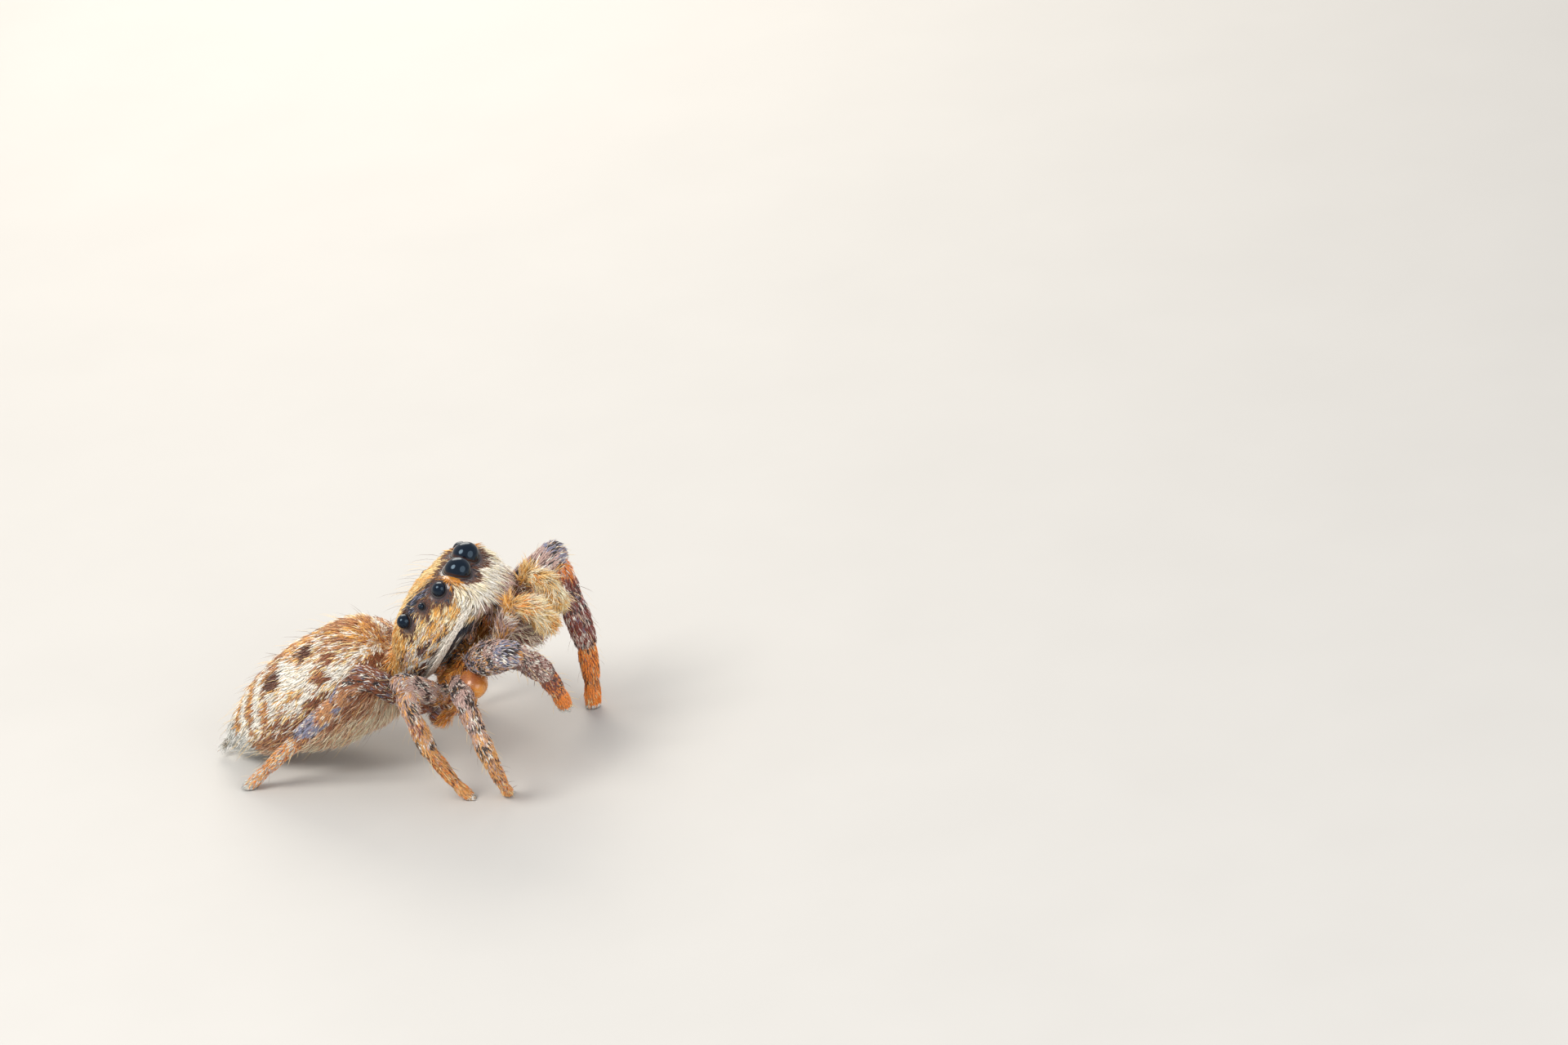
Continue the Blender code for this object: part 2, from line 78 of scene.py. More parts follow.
SIDES = ("left", "right")
LEG_NUMBERS = (1, 2, 3, 4)
LEG_PARTS = ("femur", "patella_tibia", "tarsus")
PALP_PARTS = ("femur", "tarsus")
EYE_KINDS = ("anterior_median", "anterior_lateral", "posterior_median", "posterior_lateral")
EYE_NODES = [f"eye_{kind}_{side}" for kind in EYE_KINDS for side in SIDES]
FLESH = sorted(set(frame["nodes"]) - set(EYE_NODES))
HEAD_PITCH = 43.0
REAR_PITCH = 29.0
CARAPACE_LENGTH = 3.0
ABDOMEN_LENGTH = 4.05
ABDOMEN_BACK = 1.08
FULL_TURN = 2 * math.pi

# Names of the skin and of what skin, coat and lenses carry for their materials and their coat
SKIN = "skin"
COLOUR = "coat_colour"
NODE_INDEX = "node_index"
RIM = "rim"


# Settings


def linear(channel):
    """One display value from 0 to 255 as scene-linear light."""
    value = channel / 255
    return value / 12.92 if value <= 0.04045 else ((value + 0.055) / 1.055) ** 2.4


def size(name, description, millimetres):
    return bpy.props.FloatProperty(name=name, description=description, default=millimetres * MM,
                                   unit="LENGTH", precision=6)


def tint(name, description, *display):
    return bpy.props.FloatVectorProperty(name=name, description=description, subtype="COLOR", size=3,
                                         default=tuple(linear(channel) for channel in display))


class SpiderPalette(bpy.types.PropertyGroup):
    gold: tint("Gold", "Hair on the top of the carapace", 238, 176, 84)
    pale_gold: tint("Pale gold", "Lighter hair beside the eyes", 252, 220, 158)
    cream: tint("Cream", "Hair of the cheeks and the face", 254, 240, 210)
    white: tint("White", "White scales and the stripe on the margin", 255, 248, 236)
    beige: tint("Beige", "Long hair under the abdomen", 230, 186, 150)
    brown: tint("Brown", "Ground colour of the abdomen", 196, 138, 90)
    chestnut: tint("Chestnut", "Darker reddish patches", 148, 86, 50)
    umber: tint("Umber", "Round spots on the back and dark gaps", 104, 62, 42)
    dark: tint("Dark", "Mottling on the legs", 48, 34, 32)
    steel: tint("Steel", "Blue-black cuticle with a sheen", 38, 46, 62)
    blue_grey: tint("Blue grey", "Cool scales on the legs", 144, 146, 172)
    mauve: tint("Mauve", "Pinkish grey scales on legs and jaws", 206, 174, 164)
    red_brown: tint("Red brown", "Inner face of the front legs", 132, 52, 34)
    amber: tint("Amber", "Clear cuticle at the leg bases", 212, 140, 46)
    orange: tint("Orange", "Last joints of the front legs", 252, 146, 46)
    tan: tint("Tan", "Last joints of the other legs", 234, 172, 100)
    ash: tint("Ash", "Soft pale tufts on the feet and at the tail", 226, 226, 220)


class SpiderSkin(bpy.types.PropertyGroup):
    voxel: size("Voxel", "Grid of the remesh that makes the flesh one skin", 0.045)
    grow: size("Grow", "How far each piece swells to close the seams before the remesh", 0.034)
    body_depth: size("Body depth", "How far the skin lies inside the solids under the body coat", 0.07)
    leg_depth: size("Leg depth", "How far the skin lies inside the solids on the legs", 0.03)
    palp_depth: size("Palp depth", "How far the skin lies inside the solids on the palps", 0.08)
    eye_hollow: size("Eye hollow", "How far the face draws back round the front pair of eyes", 0.11)


class SpiderCoat(bpy.types.PropertyGroup):
    back_length: size("Back length", "Length of the scales on the abdomen", 0.27)
    back_width: size("Back width", "Width of the scales on the abdomen", 0.036)
    back_spacing: size("Back spacing", "Distance between scales on the abdomen", 0.0365)
    head_length: size("Head length", "Length of the hair on the carapace", 0.19)
    head_width: size("Head width", "Width of the hair on the carapace", 0.024)
    head_spacing: size("Head spacing", "Distance between hairs on the carapace", 0.031)
    leg_length: size("Leg length", "Length of the scales on the legs", 0.15)
    leg_width: size("Leg width", "Width of the scales on the legs", 0.027)
    leg_spacing: size("Leg spacing", "Distance between scales on the legs", 0.0345)
    palp_length: size("Palp length", "Length of the hair on the palps", 0.33)
    palp_width: size("Palp width", "Width of the hair on the palps", 0.020)
    palp_spacing: size("Palp spacing", "Distance between hairs on the palps", 0.0235)
    stripe_length: size("Stripe length", "Length of the white scales in the stripe", 0.16)
    stripe_width: size("Stripe width", "Width of the white scales in the stripe", 0.028)
    under_length: size("Under length", "Length of the hair on the sternum and the coxae", 0.20)
    bristle_length: size("Bristle length", "Length of the long standing bristles", 0.62)
    bristle_width: size("Bristle width", "Width of the long standing bristles", 0.009)


class SpiderStudio(bpy.types.PropertyGroup):
    floor: tint("Floor", "Colour of the floor", 196, 194, 190)
    camera_azimuth: bpy.props.FloatProperty(name="Azimuth", description="Camera direction round the spider",
                                            default=15.5)
    camera_elevation: bpy.props.FloatProperty(name="Elevation", description="Camera angle above the floor",
                                              default=26.0)
    camera_roll: bpy.props.FloatProperty(name="Roll", description="Turn of the picture", default=8.0)
    frame_width: size("Frame width", "Width of the picture at the spider", 31.37)
    lens: bpy.props.FloatProperty(name="Lens", description="Focal length in millimetres", default=200.0)


# Places on the body


def unit(vectors):
    return vectors / np.maximum(np.linalg.norm(vectors, axis=-1, keepdims=True), 1e-12)


def node_points(name):
    mesh = frame["nodes"][name].data
    points = np.empty(len(mesh.vertices) * 3, np.float32)
    mesh.vertices.foreach_get("co", points)
    return points.reshape(-1, 3).astype(float) / MM


def ramp(value, low, high):
    """0 below low, 1 above high, smooth between."""
    position = np.clip((value - low) / (high - low), 0, 1)
    return position * position * (3 - 2 * position)


def hill(value, middle, reach):
    return np.exp(-((value - middle) / reach) ** 2)


def lattice_noise(points, grain_size, seed):
    """Smooth value noise from 0 to 1 on a lattice."""
    scaled = np.asarray(points) / grain_size
    corner = np.floor(scaled).astype(np.int64)
    part = scaled - corner
    part = part * part * (3 - 2 * part)
    total = np.zeros(len(scaled))
    for offset in np.ndindex(2, 2, 2):
        cell = corner + offset
        mixed = cell[:, 0] * 73856093 ^ cell[:, 1] * 19349663 ^ cell[:, 2] * 83492791 ^ seed * 2654435761
        mixed = (mixed ^ (mixed >> 13)) * 1274126177
        value = ((mixed ^ (mixed >> 16)) & 65535) / 65535.0
        total += value * np.prod(np.where(offset, part, 1 - part), axis=1)
    return total


class BodyFrame:
    """A frame fixed in the carapace or the abdomen, with x forward, y to the left and z up."""

    def __init__(self, node, pitch, top=None):
        lean = math.radians(pitch)
        forward = (math.cos(lean), 0, math.sin(lean))
        upward = (-math.sin(lean), 0, math.cos(lean))
        self.axes = np.array([forward, (0, 1, 0), upward])
        points = node_points(node) @ self.axes.T
        low, high = points.min(axis=0), points.max(axis=0)
        base = low[2] if top is None else high[2] - top
        self.origin = np.array([low[0], (low[1] + high[1]) / 2, base])

    def local(self, points):
        return points @ self.axes.T - self.origin

    def world_direction(self, directions):
        return directions @ self.axes

    def local_direction(self, directions):
        return directions @ self.axes.T


class Guide:
    """The middle line of a long piece from its root to its tip, and the way its back faces. It runs through
    the middles of some slices, and END_REACH of a step further at each end."""

    END_REACH = 0.6

    def __init__(self, node, root, back, slices=7):
        points = node_points(node)
        middle = points.mean(axis=0)
        axis = np.linalg.svd(points - middle, full_matrices=False)[2][0]
        if (root - middle) @ axis > 0:
            axis = -axis
        reach = (points - middle) @ axis
        edges = np.linspace(reach.min(), reach.max(), slices + 1)
        line = []
        for low, high in zip(edges, edges[1:]):
            inside = (reach >= low) & (reach <= high)
            if inside.any():
                line.append(points[inside].mean(axis=0))
        line[0] = line[0] + self.END_REACH * (line[0] - line[1])
        line[-1] = line[-1] + self.END_REACH * (line[-1] - line[-2])
        self.line = np.array(line)
        self.back = back
        steps = np.linalg.norm(np.diff(self.line, axis=0), axis=1)
        self.starts = np.concatenate([[0.0], np.cumsum(steps)])
        self.tip = self.line[-1]
        self.root = self.line[0]

    def locate(self, points):
        """Share of the length, angle round the line from its back, and the line's direction."""
        best = np.full(len(points), np.inf)
        along = np.zeros(len(points))
        foot = np.zeros_like(points)
        direction = np.zeros_like(points)
        for index, (start, end) in enumerate(zip(self.line, self.line[1:])):
            step = end - start
            length = np.linalg.norm(step)
            travel = np.clip((points - start) @ step / length**2, 0, 1)
            nearest = start + travel[:, None] * step
            gap = np.linalg.norm(points - nearest, axis=1)
            closer = gap < best
            best[closer] = gap[closer]
            along[closer] = self.starts[index] + travel[closer] * length
            foot[closer] = nearest[closer]
            direction[closer] = step / length
        along /= self.starts[-1]
        back = unit(self.back - (direction @ self.back)[:, None] * direction)
        across = np.cross(direction, back)
        away = points - foot
        around = np.arctan2((away * across).sum(axis=1), (away * back).sum(axis=1))
        return along, around, direction


HEAD = BodyFrame("carapace", HEAD_PITCH)
REAR = BodyFrame("abdomen", REAR_PITCH, ABDOMEN_BACK)


def make_guides():
    """One guide for each long piece. Its root is the end nearest the piece that carries it."""
    chest = node_points("sternum_and_coxae").mean(axis=0)
    up = np.array([0.0, 0.0, 1.0])
    high_above = HEAD.origin + 3 * CARAPACE_LENGTH * HEAD.axes[2]
    guides = {name: Guide(name, chest, up) for name in ("abdomen", "spinnerets", "pedicel")}
    for side in SIDES:
        guides[f"chelicera_{side}"] = Guide(f"chelicera_{side}", high_above, HEAD.axes[0])
        for number in LEG_NUMBERS:
            names = [f"leg_{number}_{side}_{part}" for part in LEG_PARTS]
            middles = [node_points(name).mean(axis=0) for name in names]
            carriers = [chest, middles[0], middles[1]]
            knee = Guide(names[0], chest, up).tip
            back = unit(knee - (chest + middles[2]) / 2)
            for name, carrier in zip(names, carriers):
                guides[name] = Guide(name, carrier, back)
        names = [f"palp_{side}_{part}" for part in PALP_PARTS]
        middles = [node_points(name).mean(axis=0) for name in names]
        back = unit(Guide(names[0], chest, up).tip - (chest + middles[1]) / 2)
        guides[names[0]] = Guide(names[0], chest, back)
        guides[names[1]] = Guide(names[1], middles[0], back)
    return guides


GUIDES = make_guides()


def eye_place(node):
    low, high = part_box(node)
    centre = np.array((low + high) / 2) / MM
    return centre, (high.x - low.x) / 2 / MM


EYES = {node: eye_place(node) for node in EYE_NODES}


# Markings, shared by skin and coat


class Brush:
    """Lays colours over a set of places: smoothly on skin, and tuft by tuft where there is a grain. The
    grain is a number from 0 to 1 for each tuft, mixed anew for each layer, and a tuft takes the colour
    where the cover is above it, half mixed only within EDGE."""

    EDGE = 0.12

    def __init__(self, palette, count, grain):
        self.palette = palette
        self.grain = grain
        self.layers = 0
        self.colour = np.zeros((count, 3))

    def fill(self, name):
        self.colour[:] = self.palette[name]

    def lay(self, name, cover):
        cover = np.clip(np.broadcast_to(cover, len(self.colour)), 0, 1)
        self.layers += 1
        if self.grain is not None:
            grain = (self.grain * (5.37 + 3.71 * self.layers)) % 1.0
            cover = np.clip(((1 + self.EDGE) * cover - grain) / self.EDGE, 0, 1)
        self.colour += (self.palette[name] - self.colour) * cover[:, None]


# Round marks on the abdomen: share of its length, degrees from the back, radius, and strength
PALE_MARKS = (
    (0.775, 26, 0.15, 0.6),
    (0.57, 32, 0.20, 0.7),
)
DARK_MARKS = (
    (0.70, 25, 0.19, 1.0),
    (0.48, 38, 0.21, 1.0),
)
RED_MARKS = (
    (0.84, 50, 0.15, 1.0),
    (0.76, 62, 0.17, 1.0),
    (0.97, 74, 0.26, 0.9),
    (0.66, 92, 0.30, 0.6),
    (0.42, 84, 0.22, 0.5),
)
ABDOMEN_RADIUS = 1.05


def round_marks(marks, along, turn):
    """How strongly each place on the abdomen lies in one of some round marks."""
    total = np.zeros(len(along))
    for share, degrees, radius, strength in marks:
        forward = (along - share) * ABDOMEN_LENGTH
        around = np.radians(turn - degrees) * ABDOMEN_RADIUS
        total += strength * np.exp(-((forward**2 + around**2) / radius**2) ** 2)
    return total


def paint_abdomen(brush, points):
    """White and brown streaks with two dark spots a side, bands at the rear and a paler belly."""
    local = REAR.local(points)
    along = local[:, 0] / ABDOMEN_LENGTH
    turn = np.degrees(np.abs(np.arctan2(local[:, 1], local[:, 2])))
    streak = lattice_noise(local * (0.27, 1, 1), 0.062, 3)
    patch = lattice_noise(local * (0.6, 1, 1), 0.30, 4)
    fine = lattice_noise(local * (0.5, 1, 1), 0.05, 5)
    upper = 1 - ramp(turn, 76, 104)
    bands = np.cos(FULL_TURN * (along + 0.0018 * (turn - 35) - 0.365) / 0.12)
    banded = (1 - ramp(along, 0.42, 0.48)) * ramp(turn, 6, 20) * (1 - ramp(turn, 62, 84))
    pale = 0.50 + (1.5 - 0.5 * banded) * (streak - 0.5) + 0.25 * (patch - 0.5) + 1.2 * bands * banded
    pale += round_marks(PALE_MARKS, along, turn)
    pale += 0.16 * banded + 0.10 * hill(turn, 62, 20)
    pale -= 0.12 * ramp(along, 0.50, 0.62) * (1 - ramp(turn, 20, 45))
    pale += 0.35 * hill(along, 0.90, 0.10) * hill(turn, 68, 12)
    pale += 0.25 * hill(along, 0.60, 0.15) * hill(turn, 56, 16)
    pale -= 0.42 * ramp(along, 0.76, 0.95) * (1 - ramp(turn, 32, 56)) + 0.30 * hill(turn, 0, 12)
    red = round_marks(RED_MARKS, along, turn)
    low_red = ramp(along, 0.15, 0.5) * hill(turn, 98, 18)
    fringe = ramp(turn, 100, 124) * (0.5 + 0.8 * streak)
    brush.fill("brown")
    brush.lay("chestnut", 0.45 * ramp(fine, 0.5, 0.85) + 0.12)
    brush.lay("gold", 0.35 * ramp(patch, 0.40, 0.7) * (1 - low_red))
    brush.lay("chestnut", 0.9 * red + 0.75 * low_red)
    brush.lay("pale_gold", 0.6 * upper * (pale + 0.25 - 1.1 * red))
    brush.lay("white", upper * (pale - 1.1 * red))
    brush.lay("white", 0.40 * (1 - upper) * ramp(streak, 0.55, 0.8))
    brush.lay("beige", fringe)
    brush.lay("cream", 0.85 * ramp(turn, 106, 128) * ramp(streak, 0.28, 0.60))
    brush.lay("umber", 1.4 * round_marks(DARK_MARKS, along, turn))
    brush.lay("ash", 1.3 * ramp(0.13 + 0.06 * ramp(turn, 50, 90) - along, -0.02, 0.05))


def stripe_level(local):
    """Height of the white stripe above the carapace's lower edge, rising to the face."""
    return -0.02 + 0.21 * local[:, 0]


def dark_strand(local, reach):
    """The blue-black strand on the head between the eyes of one side, reach wide."""
    forward, out, level = local[:, 0], np.abs(local[:, 1]), local[:, 2]
    strand = hill(out, 0.76, reach) * ramp(forward, 1.5, 1.75) * (1 - ramp(forward, 2.35, 2.6))
    return strand * ramp(level, 0.95, 1.15)


def paint_carapace(brush, points):
    """Gold above, streaked cream and dark on the sides, and a white stripe over a dark margin."""
    local = HEAD.local(points)
    forward, out, level = local[:, 0], np.abs(local[:, 1]), local[:, 2]
    turn = np.degrees(np.arctan2(out, np.maximum(level, 1e-3)))
    streak = lattice_noise(local * (0.40, 1, 1.2), 0.07, 11)
    blot = lattice_noise(local * (0.6, 1, 1.2), 0.11, 12)
    fine = lattice_noise(local, 0.05, 13)
    above = level - stripe_level(local)
    side = ramp(turn, 40, 54)
    low = 1 - ramp(level, 0.50, 0.80)
    rear_low = (1 - ramp(forward, 1.2, 1.9)) * low
    strand = dark_strand(local, 0.24)
    face = ramp(forward, 2.55, 2.85)
    flank = side * (1 - ramp(forward, 2.0, 2.4)) * (1 - ramp(level, 1.05, 1.30))
    gaps = flank * ramp(blot, 0.52, 0.62)
    amber = hill(forward, 2.76, 0.15) * hill(out, 0.68, 0.14) * ramp(level, 0.95, 1.10)
    margin = ramp(-above, 0.05, 0.09) * (1 - 0.9 * ramp(forward, 2.35, 2.65))
    from_eye = eye_gaps(points)
    brush.fill("gold")
    # Orange towards the rear of the top: partly the carapace's own orange, partly a painted rim of back light
    brush.lay("orange", 0.30 * (1 - ramp(turn, 15, 45)) * (1 - ramp(forward, 1.0, 2.0)))
    brush.lay("pale_gold", 0.32 + 0.68 * ramp(streak, 0.36, 0.66) * ramp(forward, 0.4, 1.6))
    brush.lay("chestnut", 0.16 * ramp(fine, 0.55, 0.9) + 0.35 * (1 - ramp(forward, 0.1, 0.5)))
    brush.lay("cream", side * (0.30 + 0.7 * ramp(forward, 1.4, 2.4)) * ramp(streak, 0.25, 0.60))
    brush.lay("cream", 1.2 * face * (1 - ramp(level, 0.95, 1.15)))
    brush.lay("white", 0.6 * face * ramp(streak, 0.30, 0.55))
    brush.lay("mauve", 0.6 * face * (1 - ramp(level, 0.25, 0.6)))
    brush.lay("white", 0.45 * flank * ramp(streak, 0.35, 0.60))
    brush.lay("mauve", 0.45 * flank * ramp(fine, 0.45, 0.65))
    brush.lay("ash", rear_low * side * ramp(streak, 0.25, 0.55))
    brush.lay("umber", 0.95 * gaps)
    brush.lay("dark", 0.35 * gaps * low)
    brush.lay("steel", 0.9 * strand)
    brush.lay("blue_grey", 0.6 * strand * ramp(streak, 0.50, 0.65))
    brush.lay("umber", 1.3 * (1 - ramp(from_eye, 0.08, 0.17)))
    brush.lay("steel", 0.7 * (1 - ramp(from_eye, 0.03, 0.12)))
    brush.lay("amber", 1.2 * amber)
    brush.lay("steel", margin * (0.85 + 0.15 * blot))
    brush.lay("mauve", ramp(-above, 0.22, 0.30) * ramp(streak, 0.3, 0.6) * ramp(forward, 1.7, 2.2))
    brush.lay("ash", 0.9 * hill(above, -0.19, 0.035) * (1 - ramp(forward, 1.9, 2.3)))
    brush.lay("white", 1.6 * np.exp(-(np.abs(above) / 0.06) ** 4))


class LegPlaces:
    """Where each point of one piece of a leg lies on it, and the noise of its mottling."""

    def __init__(self, points, number, side, part):
        self.along, around, _ = GUIDES[f"leg_{number}_{side}_{LEG_PARTS[part]}"].locate(points)
        self.below = ramp(np.abs(around), math.radians(95), math.radians(150))
        seed = 20 + 7 * number + (3 if side == "left" else 0)
        self.blot = lattice_noise(points, 0.15, seed)
        self.scale = lattice_noise(points, 0.055, seed + 1)
        self.patch = lattice_noise(points, 0.30, seed + 2)


def paint_thigh(brush, at, number, side):
    """Mauve or, on the last legs, chestnut, mottled dark and white, with clear amber cuticle below."""
    front, rear = number == 1, number == 4
    clear = {2: 0.9, 3: 0.5}.get(number, 0.0)
    brush.fill("chestnut" if rear else "mauve")
    brush.lay("tan", 0.0 if rear else 0.45 * ramp(at.patch, 0.45, 0.65))
    brush.lay("blue_grey", 0.15 if rear else 0.40 * ramp(at.patch, 0.55, 0.75))
    brush.lay("blue_grey", 0.7 * front * ramp(at.along, 0.7, 0.85) * (1 - at.below))
    brush.lay("dark", (0.6 if rear else 0.7) * ramp(at.blot, 0.42, 0.65))
    brush.lay("white", (0.55 if rear else 0.65) * ramp(at.scale, 0.52, 0.82))
    brush.lay("amber", 0.7 * at.below * ramp(at.patch, 0.35, 0.6) * (0.4 + 0.6 * ramp(at.along, 0.0, 0.5)))
    brush.lay("umber", 0.4 * at.below * ramp(at.blot, 0.5, 0.7))
    brush.lay("amber", clear * at.below * (1 - ramp(at.along, 0.24, 0.34)))


def paint_shin(brush, at, number, side):
    """Tan towards the foot, red-brown on the front legs and with blue patches on the last."""
    front, rear = number == 1, number == 4
    brush.fill("brown" if rear else "mauve")
    brush.lay("tan", (0.45 + 0.5 * ramp(at.along, 0.35, 0.75)) * (not front) * (0.2 if rear else 1.0))
    if front:
        brush.lay("red_brown", 0.85 if side == "left" else 0.45)
    else:
        brush.lay("red_brown", 0.25 * ramp(at.patch, 0.4, 0.7))
    brush.lay("chestnut", 0.7 * rear * ramp(at.blot, 0.4, 0.6))
    brush.lay("blue_grey", ramp(at.patch, 0.58, 0.70) * (0.9 if rear else 0.1))
    brush.lay("blue_grey", 0.6 * front * (1 - ramp(at.along, 0.04, 0.12)) * (1 - at.below))
    brush.lay("orange", 0.8 * (front and side == "left") * (1 - ramp(at.along, 0.12, 0.26)))
    brush.lay("umber", 0.6 * (front and side == "right") * ramp(at.patch, 0.35, 0.55))
    brush.lay("dark", (0.5 if rear else 0.6) * ramp(at.blot, 0.50, 0.72))
    brush.lay("mauve", (0.3 if rear else 0.6) * ramp(at.scale, 0.50, 0.66))
    brush.lay("white", 0.75 * ramp(at.scale, 0.58, 0.85))


def paint_foot(brush, at, number, side):
    """Clear orange or tan, with a chestnut ring at the last joint and an ash-white tip."""
    front, rear = number == 1, number == 4
    red = 0.75 if front and side == "right" else 0.25
    last = ramp(at.along, 0.54, 0.66)
    brush.fill("orange" if front else "tan")
    brush.lay("pale_gold", (0.3 if front else 0.6) * ramp(at.scale, 0.48, 0.70))
    brush.lay("red_brown", red * (1 - last) * (1 - 0.5 * ramp(at.along, 0.2, 0.5)))
    brush.lay("chestnut", 0.5 * hill(at.along, 0.58, 0.06))
    brush.lay("orange", 0.0 if front else 0.25 + 0.35 * at.below)
    brush.lay("mauve", (0.2 if front else 0.5) * (1 - 0.7 * last) * ramp(at.scale, 0.50, 0.8))
    brush.lay("dark", (0.35 if front else 0.2) * (1 - last) * ramp(at.blot, 0.55, 0.8))
    brush.lay("ash", 0.6 * rear * (1 - at.below) * ramp(at.scale, 0.35, 0.6))
    brush.lay("ash", 0.9 * ramp(at.along, 0.92, 0.97))


LEG_PAINTS = (paint_thigh, paint_shin, paint_foot)


def paint_palp(brush, points, side, part):
    """Golden, with a bright knee, and mauve and chestnut on the thigh."""
    along = GUIDES[f"palp_{side}_{PALP_PARTS[part]}"].locate(points)[0]
    knee = 1 - ramp(along, 0.0, 0.2) if part else ramp(along, 0.55, 0.8)
    streak = lattice_noise(points, 0.09, 61)
    patch = lattice_noise(points, 0.28, 62)
    strand = lattice_noise(points, 0.12, 64)
    if part:
        brush.fill("gold")
        brush.lay("orange", 0.45 * ramp(patch, 0.45, 0.70))
        brush.lay("pale_gold", 0.65 * ramp(strand, 0.30, 0.55))
        brush.lay("cream", 0.8 * ramp(streak, 0.40, 0.62))
    else:
        brush.fill("mauve")
        brush.lay("chestnut", 0.7 * ramp(patch, 0.42, 0.62))
        brush.lay("gold", 0.5 * ramp(strand, 0.40, 0.62))
        brush.lay("white", 0.6 * ramp(streak, 0.42, 0.65))
    brush.lay("gold", 0.9 * knee)
    brush.lay("pale_gold", 0.6 * knee * ramp(strand, 0.30, 0.60))


def paint_underside(brush, points):
    """Golden orange, and mauve and white towards the mouth."""
    blot = lattice_noise(points, 0.16, 71)
    brush.fill("gold")
    brush.lay("orange", 0.4)
    brush.lay("amber", 0.5)
    brush.lay("red_brown", 0.25 * ramp(blot, 0.35, 0.65))
    brush.lay("umber", 0.30 * ramp(blot, 0.6, 0.85))
    front = ramp(HEAD.local(points)[:, 0], 1.7, 2.1)
    brush.lay("mauve", 0.75 * front * ramp(blot, 0.3, 0.5))
    brush.lay("white", (0.2 + 0.4 * front) * ramp(lattice_noise(points, 0.06, 72), 0.5, 0.8))


def paint_jaw(brush, points):
    """Mauve over red-brown, streaked with cream."""
    blot = lattice_noise(points, 0.13, 81)
    brush.fill("mauve")
    brush.lay("red_brown", 0.55 * ramp(blot, 0.35, 0.6))
    brush.lay("umber", 0.5 * ramp(blot, 0.5, 0.7))
    brush.lay("cream", 0.7 * ramp(lattice_noise(points, 0.07, 82), 0.45, 0.7))


def body_colours(points, nodes, grain=None):
    """Colour of every place on the animal. nodes holds indices into FLESH."""
    settings = bpy.context.scene.spider_palette
    palette = {key: np.array(getattr(settings, key)) for key in SpiderPalette.__annotations__}
    colours = np.zeros((len(points), 3))
    for index in np.unique(nodes):
        name = FLESH[index]
        here = nodes == index
        brush = Brush(palette, here.sum(), None if grain is None else grain[here])
        places = points[here]
        if name == "abdomen":
            paint_abdomen(brush, places)
        elif name == "carapace":
            paint_carapace(brush, places)
        elif name.startswith("leg_"):
            _, number, side, part = name.split("_", 3)
            at = LegPlaces(places, int(number), side, LEG_PARTS.index(part))
            LEG_PAINTS[LEG_PARTS.index(part)](brush, at, int(number), side)
        elif name.startswith("palp_"):
            _, side, part = name.split("_")
            paint_palp(brush, places, side, PALP_PARTS.index(part))
        elif name.startswith("chelicera"):
            paint_jaw(brush, places)
        elif name == "spinnerets":
            brush.fill("ash")
            brush.lay("beige", 0.12 * ramp(lattice_noise(places, 0.06, 91), 0.3, 0.7))
        else:
            paint_underside(brush, places)
        colours[here] = brush.colour
    return colours


# Materials


SOCKET_TYPES = {"Colour": "NodeSocketColor", "Normal": "NodeSocketVector"}


def new_group(name, inputs, outputs):
    """A node group with its sockets, and its entry and exit nodes. Inputs are names with their defaults."""
    group = bpy.data.node_groups.new(name, "ShaderNodeTree")
    for key, value in inputs.items():
        kind = SOCKET_TYPES.get(key, "NodeSocketFloat")
        group.interface.new_socket(key, in_out="INPUT", socket_type=kind).default_value = value
    for key in outputs:
        kind = SOCKET_TYPES.get(key, "NodeSocketFloat")
        group.interface.new_socket(key, in_out="OUTPUT", socket_type=kind)
    return group, group.nodes.new("NodeGroupInput"), group.nodes.new("NodeGroupOutput")


def math_node(nodes, operation, **values):
    """A Math node. Values are its sockets' numbers, such as second=0.5."""
    node = nodes.new("ShaderNodeMath")
    node.operation = operation
    for key, value in values.items():
        node.inputs[("first", "second", "third").index(key)].default_value = value
    return node


def noise_on_object(group, entry, detail):
    """Noise on Object coordinates, as fine as the group's own setting says."""
    place = group.nodes.new("ShaderNodeTexCoord")
    noise = group.nodes.new("ShaderNodeTexNoise")
    noise.inputs["Detail"].default_value = detail
    group.links.new(place.outputs["Object"], noise.inputs["Vector"])
    group.links.new(entry.outputs["Grains per metre"], noise.inputs["Scale"])
    return noise


def tone_group():
    """Breaks a colour up with fine lighter and darker grain."""
    group = bpy.data.node_groups.get("Spider tone")
    if group:
        return group
    inputs = {"Colour": (0.0, 0.0, 0.0, 1.0), "Grains per metre": 20000.0, "Depth": 0.15}
    group, entry, exit_ = new_group("Spider tone", inputs, ("Colour", "Mask"))
    nodes, links = group.nodes, group.links
    noise = noise_on_object(group, entry, 3.0)
    centred = math_node(nodes, "SUBTRACT", second=0.5)
    doubled = math_node(nodes, "MULTIPLY", second=2.0)
    scaled = math_node(nodes, "MULTIPLY_ADD", third=1.0)
    product = nodes.new("ShaderNodeVectorMath")
    product.operation = "SCALE"
    links.new(noise.outputs["Fac"], centred.inputs[0])
    links.new(entry.outputs["Depth"], doubled.inputs[0])
    links.new(centred.outputs[0], scaled.inputs[0])
    links.new(doubled.outputs[0], scaled.inputs[1])
    links.new(entry.outputs["Colour"], product.inputs[0])
    links.new(scaled.outputs[0], product.inputs["Scale"])
    links.new(product.outputs[0], exit_.inputs["Colour"])
    links.new(noise.outputs["Fac"], exit_.inputs["Mask"])
    return group


